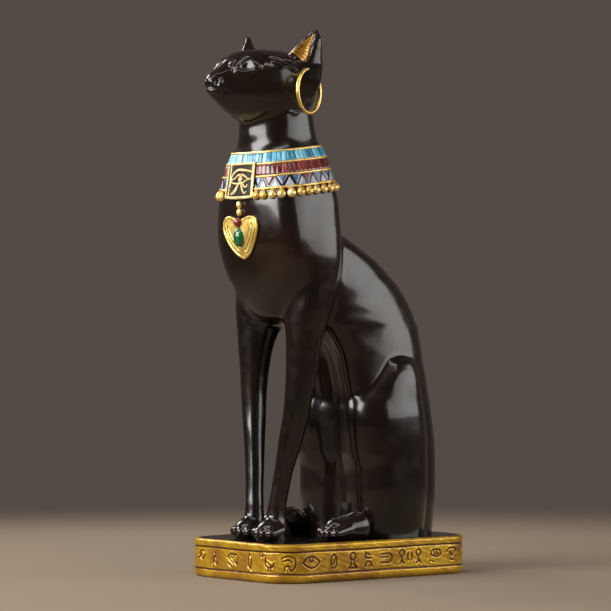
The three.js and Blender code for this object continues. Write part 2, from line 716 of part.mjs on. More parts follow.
// Closed loops of points stacked into one body: each loop is joined to the next, and the ends are capped or joined
function stack(loops, ring) {
  const n = loops[0].length;
  const points = loops.flat();
  const faces = [];
  const last = ring ? loops.length : loops.length - 1;
  for (let k = 0; k < last; k++) {
    const a = k * n;
    const b = ((k + 1) % loops.length) * n;
    for (let i = 0; i < n; i++) {
      const j = (i + 1) % n;
      faces.push([a + i, a + j, b + j], [a + i, b + j, b + i]);
    }
  }
  if (!ring) {
    for (let i = 1; i < n - 1; i++) {
      faces.push([0, i + 1, i]);
      const t = (loops.length - 1) * n;
      faces.push([t, t + i, t + i + 1]);
    }
  }
  return meshOf(points, faces);
}

// Plinth: a rounded rectangle stacked in height, with an incised line above the foot rim and one below the top rim
function plinthLoop(z, inset) {
  const hx = PLINTH_WIDTH / 2 - PLINTH_CORNER;
  const hy = PLINTH_LENGTH / 2 - PLINTH_CORNER;
  const r = PLINTH_CORNER - inset;
  const loop = [];
  const steps = 6;
  for (const [sx, sy, start] of [[1, -1, -90], [1, 1, 0], [-1, 1, 90], [-1, -1, 180]])
    for (let i = 0; i <= steps; i++) {
      const a = rad(start + (90 * i) / steps);
      loop.push([sx * hx + r * Math.cos(a), sy * hy + r * Math.sin(a), z]);
    }
  return loop;
}

function plinth() {
  const bandLow = RIM_LOW + LINE_WIDTH;
  const bandHigh = PLINTH_HEIGHT - RIM_HIGH - LINE_WIDTH;
  const profile = [
    [0, FOOT_ROUND],
    [FOOT_ROUND * 0.4, FOOT_ROUND * 0.4],
    [FOOT_ROUND, FOOT_ROUND * 0.1],
    [RIM_LOW, 0],
    [RIM_LOW, LINE_DEPTH],
    [bandLow, LINE_DEPTH],
    [bandLow, 0],
    [bandHigh, 0],
    [bandHigh, LINE_DEPTH],
    [bandHigh + LINE_WIDTH, LINE_DEPTH],
    [bandHigh + LINE_WIDTH, 0],
    [PLINTH_HEIGHT - TOP_EASE * 0.6, 0],
    [PLINTH_HEIGHT, TOP_EASE],
  ];
  return stack(profile.map(([z, inset]) => plinthLoop(z, inset)), false);
}

// Collar: for each angle round the neck's axis, a profile of heights and stand-offs from the skin
const neckY = NECK_AXIS_Y * K;

function collarPoint(angle, height, proud) {
  const toward = [Math.cos(angle), Math.sin(angle), COLLAR_TILT * Math.sin(angle)];
  const from = [0, neckY, height];
  const r = reachTo(cat, from, toward, Math.max(proud, 0), 46 * K) + Math.min(proud, 0);
  return from.map((v, c) => v + toward[c] * r);
}

function collar() {
  const half = CORD_WIDTH / 2;
  const last = CORD_LEVELS.length - 1;
  const profile = [[rise(CORD_LEVELS[0]) + half, -RELIEF_ROOT]];
  CORD_LEVELS.forEach((level, i) => {
    const h = rise(level);
    if (i > 0) profile.push([h + half + BAND_STEP, BAND_PROUD]);
    profile.push([h + half, CORD_PROUD], [h - half, CORD_PROUD]);
    if (i < last) profile.push([h - half - BAND_STEP, BAND_PROUD]);
  });
  profile.push([rise(CORD_LEVELS[last]) - half, -RELIEF_ROOT]);
  const turns = 36;
  const loops = [];
  for (let k = 0; k < turns; k++)
    loops.push(profile.map(([h, proud]) => collarPoint((2 * Math.PI * k) / turns, h, proud)));
  return stack(loops, true);
}

// Beads under the collar, spaced evenly round the skin and left out behind the plaque
function beads() {
  const fine = 720;
  const path = [];
  const lengths = [0];
  for (let k = 0; k <= fine; k++) {
    path.push(new THREE.Vector3(...collarPoint(-Math.PI / 2 + (2 * Math.PI * k) / fine, rise(BEAD_LEVEL), BEAD_RADIUS * 0.2)));
    if (k) lengths.push(lengths[k - 1] + path[k].distanceTo(path[k - 1]));
  }
  const count = Math.round(lengths[fine] / BEAD_PITCH);
  const out = [];
  for (let i = 0; i < count; i++) {
    const p = path[lengths.findIndex((l) => l >= (lengths[fine] * (i + 0.5)) / count)];
    const front = p.y < neckY;
    if (front && Math.abs(p.x) < PLAQUE_WIDTH / 2 + BEAD_RADIUS * 0.6) continue;
    const bead = new THREE.SphereGeometry(BEAD_RADIUS, 6, 3);
    bead.rotateX(Math.PI / 2);
    out.push(bead.translate(p.x, p.y, p.z));
  }
  return out;
}

// A point on the front of the chest at x and z, stood off the skin by some amount
function frontPoint(x, z, proud) {
  const r = reachTo(cat, [x, neckY, z], [0, -1, 0], 0, 40 * K);
  return [x, neckY - r - proud, z];
}

// Plaque: a framed plate that follows the chest
function plaque() {
  const half = PLAQUE_WIDTH / 2;
  const inner = half - PLAQUE_FRAME;
  const xs = [-half, -inner, -inner + FRAME_STEP, -inner / 2, 0, inner / 2, inner - FRAME_STEP, inner, half];
  const low = rise(PLAQUE_LEVEL) - PLAQUE_HEIGHT / 2;
  const high = rise(PLAQUE_LEVEL) + PLAQUE_HEIGHT / 2;
  const lo = low + PLAQUE_FRAME;
  const hi = high - PLAQUE_FRAME;
  const zs = [low, lo, lo + FRAME_STEP, (lo * 2 + hi) / 3, (lo + hi * 2) / 3, hi - FRAME_STEP, hi, high];
  const n = xs.length;
  const m = zs.length;
  const points = [];
  for (const back of [false, true])
    zs.forEach((z, j) =>
      xs.forEach((x, i) => {
        const ground = i > 1 && i < n - 2 && j > 1 && j < m - 2;
        points.push(frontPoint(x, z, back ? -RELIEF_ROOT : ground ? PLAQUE_GROUND : PLAQUE_PROUD));
      }),
    );
  const faces = [];
  const quad = (a, b, c, d) => faces.push([a, b, c], [a, c, d]);
  const front = (i, j) => j * n + i;
  const rear = (i, j) => n * m + j * n + i;
  for (let j = 0; j < m - 1; j++)
    for (let i = 0; i < n - 1; i++) {
      quad(front(i, j), front(i + 1, j), front(i + 1, j + 1), front(i, j + 1));
      quad(rear(i, j), rear(i, j + 1), rear(i + 1, j + 1), rear(i + 1, j));
    }
  for (let i = 0; i < n - 1; i++) {
    quad(front(i, 0), rear(i, 0), rear(i + 1, 0), front(i + 1, 0));
    quad(front(i, m - 1), front(i + 1, m - 1), rear(i + 1, m - 1), rear(i, m - 1));
  }
  for (let j = 0; j < m - 1; j++) {
    quad(front(0, j), front(0, j + 1), rear(0, j + 1), rear(0, j));
    quad(front(n - 1, j), rear(n - 1, j), rear(n - 1, j + 1), front(n - 1, j + 1));
  }
  return meshOf(points, faces);
}

// Pendant: a heart-shaped plate on the chest. Its outline is a closed shape of six curves
const pendantTop = rise(PENDANT_LEVEL) + PENDANT_HEIGHT / 2;
const pendantTip = rise(PENDANT_LEVEL) - PENDANT_HEIGHT / 2;
const pendantNotch = pendantTop - PENDANT_NOTCH;

function pendantOutline() {
  const w = PENDANT_WIDTH / 2;
  const h = PENDANT_HEIGHT;
  const side = pendantTip + h * 0.7;
  const s = new THREE.Shape();
  s.moveTo(0, pendantTip);
  s.bezierCurveTo(w * 0.3, pendantTip + h * 0.12, w * 0.98, pendantTip + h * 0.4, w, side);
  s.bezierCurveTo(w, pendantTop - h * 0.08, w * 0.82, pendantTop, w * 0.58, pendantTop);
  s.bezierCurveTo(w * 0.32, pendantTop, w * 0.1, pendantNotch + PENDANT_NOTCH * 0.6, 0, pendantNotch);
  s.bezierCurveTo(-w * 0.1, pendantNotch + PENDANT_NOTCH * 0.6, -w * 0.32, pendantTop, -w * 0.58, pendantTop);
  s.bezierCurveTo(-w * 0.82, pendantTop, -w, pendantTop - h * 0.08, -w, side);
  s.bezierCurveTo(-w * 0.98, pendantTip + h * 0.4, -w * 0.3, pendantTip + h * 0.12, 0, pendantTip);
  return s.getPoints(5).slice(0, -1);
}

function pendant() {
  const outline = pendantOutline();
  const centre = [0, (pendantTip + pendantNotch) / 2 + PENDANT_HEIGHT * 0.05];
  const place = (p, share) => [centre[0] + (p.x - centre[0]) * share, centre[1] + (p.y - centre[1]) * share];
  const layers = [
    [0.5, PENDANT_PROUD],
    [0.92, PENDANT_PROUD],
    [1, PENDANT_PROUD * 0.55],
    [1, -RELIEF_ROOT],
    [0.5, -RELIEF_ROOT],
  ];
  const points = layers.flatMap(([share, proud]) => outline.map((p) => frontPoint(...place(p, share), proud)));
  points.push(frontPoint(...centre, PENDANT_PROUD), frontPoint(...centre, -RELIEF_ROOT));
  const n = outline.length;
  const faces = [];
  for (let i = 0; i < n; i++) {
    const j = (i + 1) % n;
    faces.push([points.length - 2, i, j]);
    for (let k = 0; k < layers.length - 1; k++) {
      const a = k * n;
      const b = a + n;
      faces.push([a + i, b + i, b + j], [a + i, b + j, a + j]);
    }
    const e = (layers.length - 1) * n;
    faces.push([e + i, points.length - 1, e + j]);
  }
  return meshOf(points, faces);
}

// A round or oval stone or bead set into the chest
function stone(z, width, height, depth, proud) {
  const g = new THREE.SphereGeometry(1, 10, 6);
  g.scale(width / 2, depth / 2, height / 2);
  return g.translate(...frontPoint(0, z, proud));
}

// The red stone hangs at the notch, the green one below it, and two beads run up to the plaque
function stones() {
  const red = pendantNotch - RED_STONE * 0.32;
  const green = red - RED_STONE / 2 - GREEN_STONE_HEIGHT / 2;
  const start = rise(PLAQUE_LEVEL) - PLAQUE_HEIGHT / 2;
  const end = red + RED_STONE / 2;
  const out = [
    stone(red, RED_STONE, RED_STONE, RED_STONE, PENDANT_PROUD * 0.9),
    stone(green, GREEN_STONE_WIDTH, GREEN_STONE_HEIGHT, GREEN_STONE_WIDTH * 0.75, PENDANT_PROUD * 0.7),
  ];
  const count = 2;
  for (let i = 0; i < count; i++) {
    const z = start + ((end - start) * (i + 0.5)) / count;
    out.push(stone(z, CHAIN_BEAD, CHAIN_BEAD, CHAIN_BEAD * 0.9, CHAIN_BEAD * 0.1));
  }
  return out;
}

// The left eye's outline on the face: x and level in the tables' measure
const EYE_OUTLINE = [
  [8.4, 234.2],
  [9.6, 237.2],
  [11.6, 238.9],
  [14.2, 239.4],
  [17.0, 238.4],
  [19.4, 236.6],
  [17.2, 235.0],
  [14.6, 233.4],
  [12.0, 232.6],
  [9.8, 232.9],
];

// A cord laid on the face along that outline, mirrored for the right eye
function eyeRim(mirror) {
  const start = -40 * K;
  const path = EYE_OUTLINE.map(([x, level]) => {
    const from = [x * K, start, rise(level)];
    return new THREE.Vector3(x * K, start - reachTo(cat, from, [0, -1, 0], 0, 40 * K), rise(level));
  });
  const loops = path.map((p, i) => {
    const before = path[(i + path.length - 1) % path.length];
    const after = path[(i + 1) % path.length];
    const run = after.clone().sub(before).normalize();
    const out = new THREE.Vector3(...slopeAt(cat, p.toArray())).normalize();
    const across = new THREE.Vector3().crossVectors(run, out).normalize();
    const ring = [];
    for (let k = 0; k < 5; k++) {
      const a = (2 * Math.PI * k) / 5;
      const q = p
        .clone()
        .addScaledVector(out, (Math.cos(a) * EYE_RIM) / 2)
        .addScaledVector(across, (Math.sin(a) * EYE_RIM) / 2);
      ring.push([q.x * (mirror ? -1 : 1), q.y, q.z]);
    }
    return mirror ? ring.reverse() : ring;
  });
  return stack(loops, true);
}

// A ring in the plane of one ear's hoop, hanging from the piercing. side is 1 on the left and -1 on the right
function hoopRing(side, thickness, turns) {
  const radius = (HOOP_OUTER - HOOP_WIRE) / 2;
  const g = new THREE.TorusGeometry(radius, thickness / 2, 7, turns);
  g.rotateX(Math.PI / 2);
  g.rotateZ(side * rad(HOOP_TURN));
  return g.translate(side * EAR_PIERCING[0] * K, EAR_PIERCING[1] * K, rise(EAR_PIERCING[2]) - radius);
}

// Grid for the cat's skin, in the tables' measure: small cells at paws and head, longer ones down legs and flanks
const acrossHalf = lines([[0, 1], [22, 2.2], [44.2, 2.8]]);
const gridX = [...acrossHalf.slice(1).reverse().map((v) => -v), ...acrossHalf].map((v) => v * K);
const gridY = lines([[-78, 1], [-24, 2.3], [64, 3.1]]).map((v) => v * K);
const gridLow = lines([[PLINTH_HEIGHT - PAW_SINK - 4, 1], [PLINTH_HEIGHT, 2]]).slice(0, -1);
const gridZ = [
  ...gridLow,
  ...lines([[FORM_FOOT, 1], [33, 2.1], [103, 4.4], [130, 3], [208, 4], [258, 2.1]]).map(rise),
];
const CAT_FACES = 5600;
const sunk = (x, y, z) => Math.max(cat(x, y, z), PLINTH_HEIGHT - PAW_SINK - z);

let casting = solidOf(thinned(skin(sunk, gridX, gridY, gridZ), CAT_FACES));
const laidOn = [plinth(), collar(), plaque(), pendant(), ...beads(), ...stones(), eyeRim(false), eyeRim(true)];
for (const piece of laidOn) casting = casting.add(solidOf(piece));
for (const side of [1, -1]) casting = casting.subtract(solidOf(hoopRing(side, HOOP_WIRE + 2 * BORE_CLEARANCE, 24)));

const black = new THREE.MeshStandardMaterial({ color: 0x0c0908, roughness: 0.18, metalness: 0 });
const gold = new THREE.MeshStandardMaterial({ color: 0xd9b44a, roughness: 0.3, metalness: 1 });

function named(name, geometry, material) {
  const mesh = new THREE.Mesh(geometry, material);
  mesh.name = name;
  return mesh;
}

const group = new THREE.Group();
group.add(named("cat_on_plinth", geometryOf(casting), black));
group.add(named("earring_left", hoopRing(1, HOOP_WIRE, 28), gold));
group.add(named("earring_right", hoopRing(-1, HOOP_WIRE, 28), gold));

export default group;
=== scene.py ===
# %% [markdown]
# A seated cat statuette in glossy black with painted ornament. The real thing is one resin casting: a
# slender cat on a low plinth, lacquered black, with a broad collar, a small framed plaque, a heart
# pendant and the insides of the ears picked out by hand in gold and enamel colours, and a thin wire hoop
# hanging in each ear. This lesson dresses the plain working model with fine surfaces: every piece is
# built here in code, in the working model's own place and size.

import math

import bpy
import numpy as np
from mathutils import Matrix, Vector


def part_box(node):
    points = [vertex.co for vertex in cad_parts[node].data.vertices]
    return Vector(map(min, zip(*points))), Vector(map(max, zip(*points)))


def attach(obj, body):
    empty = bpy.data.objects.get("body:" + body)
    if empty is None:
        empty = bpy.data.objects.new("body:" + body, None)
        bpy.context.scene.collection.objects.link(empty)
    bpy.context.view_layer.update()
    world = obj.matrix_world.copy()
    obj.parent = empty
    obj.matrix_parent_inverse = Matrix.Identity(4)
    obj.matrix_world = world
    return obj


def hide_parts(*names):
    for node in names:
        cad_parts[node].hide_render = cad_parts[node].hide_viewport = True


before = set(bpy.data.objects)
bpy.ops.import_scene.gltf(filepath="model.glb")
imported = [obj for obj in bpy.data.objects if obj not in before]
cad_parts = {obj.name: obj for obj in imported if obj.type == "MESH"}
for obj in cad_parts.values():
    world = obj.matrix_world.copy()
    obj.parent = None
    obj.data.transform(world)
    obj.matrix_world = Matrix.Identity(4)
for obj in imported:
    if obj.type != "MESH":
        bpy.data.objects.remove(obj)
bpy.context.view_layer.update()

# %% [markdown]
# All sizes below are written in millimetres, for a figure whose ear tips stand 253.9 mm over the table.
# The working model says how tall the figure really is, so one scale factor carries everything to its
# size.

# %% Measures taken from the working model
MM = 0.001
WRITTEN_HEIGHT = 253.894
high_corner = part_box("cat_on_plinth")[1]
SCALE = high_corner.z / MM / WRITTEN_HEIGHT
PLINTH_HALF_WIDTH = high_corner.x / MM / SCALE
PLINTH_HALF_LENGTH = high_corner.y / MM / SCALE
PLINTH_HEIGHT = 18.0
PLINTH_CORNER = 17.0
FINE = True
print("scale:", round(SCALE, 4))
print("plinth half sizes:", round(PLINTH_HALF_WIDTH, 2), round(PLINTH_HALF_LENGTH, 2))

# %% [markdown]
# A product photographer would set this up with a long lens at about the figure's own middle height,
# turned halfway between front and side. A long lens keeps the tall body free of leaning lines. The camera
# comes first, so that every later piece can be looked at from the right place.

# %% Camera
CAMERA_TURN = math.radians(51.0)
CAMERA_DISTANCE = 1.5
CAMERA_HEIGHT = 0.122
LENS_LENGTH = 187.1
SENSOR = 36.0
AIM_LEFT = math.radians(0.433)
AIM_UP = math.radians(0.175)

camera_place = Vector(
    (CAMERA_DISTANCE * math.sin(CAMERA_TURN), -CAMERA_DISTANCE * math.cos(CAMERA_TURN), CAMERA_HEIGHT)
)
heading = CAMERA_TURN + AIM_LEFT
look = Vector((-math.sin(heading), math.cos(heading), math.tan(AIM_UP)))
camera_data = bpy.data.cameras.new("camera")
camera_data.lens = LENS_LENGTH
camera_data.sensor_width = SENSOR
camera = bpy.data.objects.new("camera", camera_data)
camera.location = camera_place
camera.rotation_euler = look.to_track_quat("-Z", "Y").to_euler()
bpy.context.scene.collection.objects.link(camera)
bpy.context.scene.camera = camera
print("camera at", [round(v, 3) for v in camera_place])

# %% [markdown]
# Gloss shows the lights more than it shows itself, so the lights are shaped first. A long low soft box
# round to the right draws the streaks on shoulder, flank and thigh. One at the front lights neck, collar
# and chest, a small one on the left picks out nose and toes, and a thin strip high in front draws the
# lines of lids and brow. The camera doesn't see them, only their reflections.

# %% Soft boxes
AIM_AT = Vector((0, 0, 0.14))
BEAM = math.radians(120)
WHITE = (1.0, 0.98, 0.95)
SOFT_BOXES = {
    "side_box": (127, 15, 0.9, 1.5, 0.50, 3.7),
    "front_box": (-10, 21, 0.9, 0.95, 0.42, 6.5),
    "left_box": (-80, 33, 0.9, 0.32, 0.34, 1.6),
    "strip_box": (36, 60, 1.0, 1.4, 0.15, 1.5),
}


def soft_box(name, turn, rise, distance, width, height, power):
    """A light turned round the figure and raised, in degrees. Sizes are in metres and power is in watts."""
    data = bpy.data.lights.new(name, "AREA")
    data.shape = "RECTANGLE"
    data.size = width
    data.size_y = height
    data.energy = power
    data.color = WHITE
    data.spread = BEAM
    light = bpy.data.objects.new(name, data)
    a = math.radians(turn)
    e = math.radians(rise)
    away = Vector((math.sin(a) * math.cos(e), -math.cos(a) * math.cos(e), math.sin(e)))
    light.location = AIM_AT + away * distance
    light.rotation_euler = (-away).to_track_quat("-Z", "Y").to_euler()
    light.visible_camera = False
    bpy.context.scene.collection.objects.link(light)


for box_name, settings in SOFT_BOXES.items():
    soft_box(box_name, *settings)
bpy.context.scene.view_settings.view_transform = "Standard"

# %% [markdown]
# The floor is a plain pale sheet near the figure. Further off it turns, softly, into the very colour of
# the room, as a sheet of paper swept up behind a still life does, so no horizon cuts behind the figure or
# shows in its gloss. Diffuse colour can't do that alone, so the far part also gives off the room's
# colour.

# %% Floor and room light
FLOOR_RADIUS = 6.0
FLOOR_SIDES = 96
FLOOR_COLOUR = (0.26, 0.208, 0.155, 1)
FLOOR_SHADE = 0.93
FLOOR_GRAIN = 9.0
ROOM_COLOUR = (0.088, 0.070, 0.060, 1)
NOTHING = (0, 0, 0, 1)
FADE_FROM, FADE_TO = 0.26, 0.56


def principled(name):
    """A new material and its main shader."""
    material = bpy.data.materials.new(name)
    material.use_nodes = True
    return material, material.node_tree, material.node_tree.nodes["Principled BSDF"]


def noise_node(tree, place, scale, detail=3.0, roughness=0.5):
    """Noise over the places given. The scale may be a number or a socket."""
    node = tree.nodes.new("ShaderNodeTexNoise")
    node.inputs["Detail"].default_value = detail
    node.inputs["Roughness"].default_value = roughness
    if isinstance(scale, (int, float)):
        node.inputs["Scale"].default_value = scale
    else:
        tree.links.new(scale, node.inputs["Scale"])
    tree.links.new(place, node.inputs["Vector"])
    return node


def range_node(tree, value, low, high, to_low=0.0, to_high=1.0):
    """A value brought from one range to another, eased and held at the ends."""
    node = tree.nodes.new("ShaderNodeMapRange")
    node.interpolation_type = "SMOOTHSTEP"
    for label, number in (("From Min", low), ("From Max", high), ("To Min", to_low), ("To Max", to_high)):
        node.inputs[label].default_value = number
    tree.links.new(value, node.inputs["Value"])
    return node.outputs["Result"]


def mix_node(tree, factor, a, b):
    """Two colours mixed. Each may be a plain colour or a socket."""
    node = tree.nodes.new("ShaderNodeMix")
    node.data_type = "RGBA"
    tree.links.new(factor, node.inputs["Factor"])
    for socket, value in ((node.inputs["A"], a), (node.inputs["B"], b)):
        if isinstance(value, tuple):
            socket.default_value = value
        else:
            tree.links.new(value, socket)
    return node.outputs["Result"]


def make_floor():
    """A wide round sheet that fades into the room's colour."""
    mesh = bpy.data.meshes.new("floor")
    angles = [2 * math.pi * k / FLOOR_SIDES for k in range(FLOOR_SIDES)]
    rim = [(FLOOR_RADIUS * math.cos(a), FLOOR_RADIUS * math.sin(a), 0) for a in angles]
    mesh.from_pydata(rim, [], [list(range(FLOOR_SIDES))])
    floor = bpy.data.objects.new("floor", mesh)
    bpy.context.scene.collection.objects.link(floor)
    material, tree, shader = principled("pale_floor")
    place = tree.nodes.new("ShaderNodeTexCoord").outputs["Object"]
    length = tree.nodes.new("ShaderNodeVectorMath")
    length.operation = "LENGTH"
    tree.links.new(place, length.inputs[0])
    far = range_node(tree, length.outputs["Value"], FADE_FROM, FADE_TO)
    grain = noise_node(tree, place, FLOOR_GRAIN, detail=6.0)
    shade = tuple(c * FLOOR_SHADE for c in FLOOR_COLOUR[:3]) + (1,)
    pale = mix_node(tree, grain.outputs["Fac"], FLOOR_COLOUR, shade)
    tree.links.new(mix_node(tree, far, pale, NOTHING), shader.inputs["Base Color"])
    tree.links.new(mix_node(tree, far, NOTHING, ROOM_COLOUR), shader.inputs["Emission Color"])
    shader.inputs["Emission Strength"].default_value = 1.0
    shader.inputs["Specular IOR Level"].default_value = 0.0
    shader.inputs["Roughness"].default_value = 0.8
    mesh.materials.append(material)


make_floor()
room = bpy.data.worlds.new("room")
room.use_nodes = True
room.node_tree.nodes["Background"].inputs["Color"].default_value = ROOM_COLOUR
bpy.context.scene.world = room
print("floor and room light are in place")

# %% [markdown]
# The body is one flowing form with no seams, so it isn't assembled from balls and tubes. It is written as
# a field: a function that says how far a point lies from the skin, negative inside. Each limb is a loft
# through a few level sections, and two limbs are joined by a rule that lets their skins melt into each
# other. A sculptor's clay works like that, and a field can be skinned as finely as wanted.

# %% Curves through a table of stations
EPS = 1e-6
FAR = 1e9


def curve(rows, column):
    """A smooth run through one column of a station table, with no overshoot between stations."""
    rows = sorted(rows)
    t = np.array([row[0] for row in rows], float)
    v = np.array([row[column] for row in rows], float)
    h = np.diff(t)
    d = np.diff(v) / h
    m = np.zeros_like(v)
    m[0], m[-1] = d[0], d[-1]
    for i in range(1, len(v) - 1):
        if d[i - 1] * d[i] > 0:
            w1, w2 = 2 * h[i] + h[i - 1], h[i] + 2 * h[i - 1]
            m[i] = (w1 + w2) / (w1 / d[i - 1] + w2 / d[i])

    def at(q):
        q = np.clip(q, t[0], t[-1])
        i = np.clip(np.searchsorted(t, q, side="right") - 1, 0, len(t) - 2)
        s = (q - t[i]) / h[i]
        r = 1 - s
        start = v[i] * (1 + 2 * s) * r * r + h[i] * m[i] * s * r * r
        return start + v[i + 1] * s * s * (3 - 2 * s) + h[i] * m[i + 1] * s * s * (s - 1)

    return at


def smooth_path(points, count):
    """Points along a smooth curve through a few given ones, spaced by their distance."""
    p = np.array(points, float)
    run = np.concatenate([[0], np.cumsum(np.linalg.norm(np.diff(p, axis=0), axis=1))])
    rows = [[run[i], *p[i]] for i in range(len(p))]
    q = np.linspace(0, run[-1], count)
    return np.stack([curve(rows, c + 1)(q) for c in range(p.shape[1])], 1)


print("halfway through a test curve:", curve([(0, 0), (1, 2), (2, 3)], 1)(1.5).round(3))

# %% [markdown]
# Two kinds of loft are enough. Upright lofts carry the neck, chest, back, thighs, legs and ears, and the
# head is a loft that runs from the nose to the back of the skull. A section is an oval whose squareness
# can be set.

# %% Fields of the simple forms


def join(a, b, k):
    """Both forms together, their skins melted into each other over about k."""
    h = np.clip(0.5 + 0.5 * (b - a) / k, 0, 1)
    return b * (1 - h) + a * h - k * h * (1 - h)


def carve(a, b, k):
    """Form a with form b taken away, the edge eased over about k."""
    return -join(-a, b, k)


def unit(v):
    return v / np.maximum(np.linalg.norm(v, axis=-1, keepdims=True), EPS)


def oval(dx, dy, wx, wy, n):
    """About the distance to an oval of half sizes wx and wy; squareness 2 is an ellipse."""
    ax = np.abs(dx / wx) + EPS
    ay = np.abs(dy / wy) + EPS
    q = (ax**n + ay**n) ** (1 / n)
    gx = (ax / q) ** (n - 1) / wx
    gy = (ay / q) ** (n - 1) / wy
    return (q - 1) / np.sqrt(gx * gx + gy * gy)


def loft(rows, level):
    """A form through the rows. Its field takes the place along the loft and the two offsets across it."""
    rows = sorted(rows)
    low, high = rows[0][0], rows[-1][0]
    parts = [curve(rows, c) for c in range(1, 6)]
    step = 0.5

    def field(t, a, b):
        held = np.clip(t, low + step, high - step)
        ahead = level([p(held + step) for p in parts], a, b)
        behind = level([p(held - step) for p in parts], a, b)
        slope = (ahead - behind) / (2 * step)
        d = level([p(t) for p in parts], a, b) / np.sqrt(1 + slope**2)
        over = np.maximum(t - high, low - t)
        return np.where(over > 0, np.hypot(np.maximum(d, 0), over), np.maximum(d, over))

    return field


def upright(rows, turn=0.0):
    """Level sections: height, centre x and y, half width and depth, squareness. All may be turned."""
    c, s = math.cos(turn), math.sin(turn)

    def level(p, x, y):
        dx, dy = x - p[0], y - p[1]
        return oval(c * dx - s * dy, s * dx + c * dy, p[2], p[3], p[4])

    field = loft(rows, level)
    return lambda x, y, z: field(z, x, y)


def lengthwise(rows):
    """Upright sections: y, centre height, half width, height above, depth below, squareness."""

    def level(p, x, z):
        dz = z - p[0]
        return oval(x, dz, p[1], np.where(dz > 0, p[2], p[3]), p[4])

    field = loft(rows, level)
    return lambda x, y, z: field(y, x, z)


def ball(x, y, z, centre, radii):
    """An egg with three radii."""
    dx, dy, dz = x - centre[0], y - centre[1], z - centre[2]
    q = np.sqrt((dx / radii[0]) ** 2 + (dy / radii[1]) ** 2 + (dz / radii[2]) ** 2)
    g = np.sqrt((dx / radii[0] ** 2) ** 2 + (dy / radii[1] ** 2) ** 2 + (dz / radii[2] ** 2) ** 2)
    return q * (q - 1) / np.maximum(g, EPS)


def near_line(x, y, z, a, run, square):
    """Distance from points to a straight run from a, and the share of the way where they are nearest."""
    off = [x - a[0], y - a[1], z - a[2]]
    t = np.clip(sum(o * r for o, r in zip(off, run)) / square, 0, 1)
    return np.sqrt(sum((o - r * t) ** 2 for o, r in zip(off, run))), t


def bar(x, y, z, a, b, ra, rb):
    """A round bar from a to b whose radius runs from ra to rb."""
    run = [b[c] - a[c] for c in range(3)]
    gap, t = near_line(x, y, z, a, run, sum(r * r for r in run))
    return gap - (ra + (rb - ra) * t)


print("distance from the middle of a ball of radius 5:", ball(0.0, 0.0, 0.0, (0, 0, 5), (5, 5, 5)))

# %% [markdown]
# These tables are the cat's anatomy. The slender neck widens into a square-shouldered chest, the back
# falls in one long curve to the haunches, and the straight front legs lean together towards the paws.

# %% Level sections of body and legs
CHEST = [
    (216, 0, -32.6, 17.2, 17.4, 2.0),
    (211, 0, -31.8, 17.4, 17.6, 2.0),
    (205, 0, -31.3, 17.9, 18.1, 2.05),
    (200, 0, -30.5, 19.2, 18.7, 2.3),
    (195, 0, -30.6, 21.8, 19.4, 2.6),
    (190, 0, -31.0, 24.2, 20.0, 2.8),
    (184, 0, -31.0, 26.2, 20.6, 3.0),
    (178, 0, -30.8, 27.8, 21.7, 3.0),
    (172, 0, -30.6, 28.9, 22.3, 3.0),
    (165, 0, -30.6, 29.9, 22.2, 3.0),
    (157, 0, -30.4, 30.4, 21.8, 3.0),
    (150, 0, -29.8, 30.2, 20.4, 3.0),
    (142, 0, -28.8, 28.4, 19.4, 2.9),
    (134, 0, -27.2, 24.8, 18.5, 2.6),
    (126, 0, -25.8, 20.6, 16.4, 2.3),
    (121, 0, -24.4, 16.6, 14.0, 2.0),
    (118, 0, -22.4, 13.0, 8.0, 2.0),
]
BARREL = [
    (166, 0, -17, 10, 9, 2.0),
    (160, 0, -15, 17, 17, 2.0),
    (153, 0, -10.7, 21, 24.4, 2.0),
    (147, 0, -5.6, 22, 29.5, 2.0),
    (141.5, 0, -2.2, 23, 32.7, 2.0),
    (135.8, 0, 1.6, 24, 35.2, 2.0),
    (130, 0, 5.2, 24.5, 36.2, 2.0),
    (124.5, 0, 8.2, 25, 36.6, 2.0),
    (118.8, 0, 12.0, 25.2, 35.4, 2.0),
    (115.6, 0, 16.4, 25.0, 32.2, 2.0),
    (112, 0, 19.6, 25.0, 29.0, 2.0),
    (106, 0, 23.0, 25.0, 26.3, 2.0),
    (99, 0, 25.2, 25.2, 25.0, 2.0),
    (87.6, 0, 28.0, 25.2, 24.8, 2.0),
    (76, 0, 29.6, 25.2, 25.0, 2.1),
    (60, 0, 31.0, 25.5, 25.3, 2.2),
    (40, 0, 31.4, 25, 24.9, 2.3),
    (18, 0, 30.8, 24, 23.2, 2.4),
    (10, 0, 30.8, 23, 22.2, 2.4),
]
FLANK = [
    (126, 13.6, -2.0, 5.0, 8.0, 2.0),
    (119, 14.4, 2.4, 8.2, 17.4, 2.0),
    (114, 15.0, 7.2, 9.2, 19.8, 2.0),
    (108, 15.4, 11.2, 9.7, 20.0, 2.0),
    (102, 15.6, 14.2, 10.0, 20.0, 2.0),
    (92, 15.8, 16.2, 10.2, 19.8, 2.0),
    (86, 16.0, 17.4, 10.4, 19.8, 2.0),
    (78, 16.0, 18.6, 10.4, 19.8, 2.0),
    (70, 16.0, 19.2, 10.4, 19.4, 2.0),
    (58, 16.0, 20.0, 10.0, 18.0, 2.0),
]
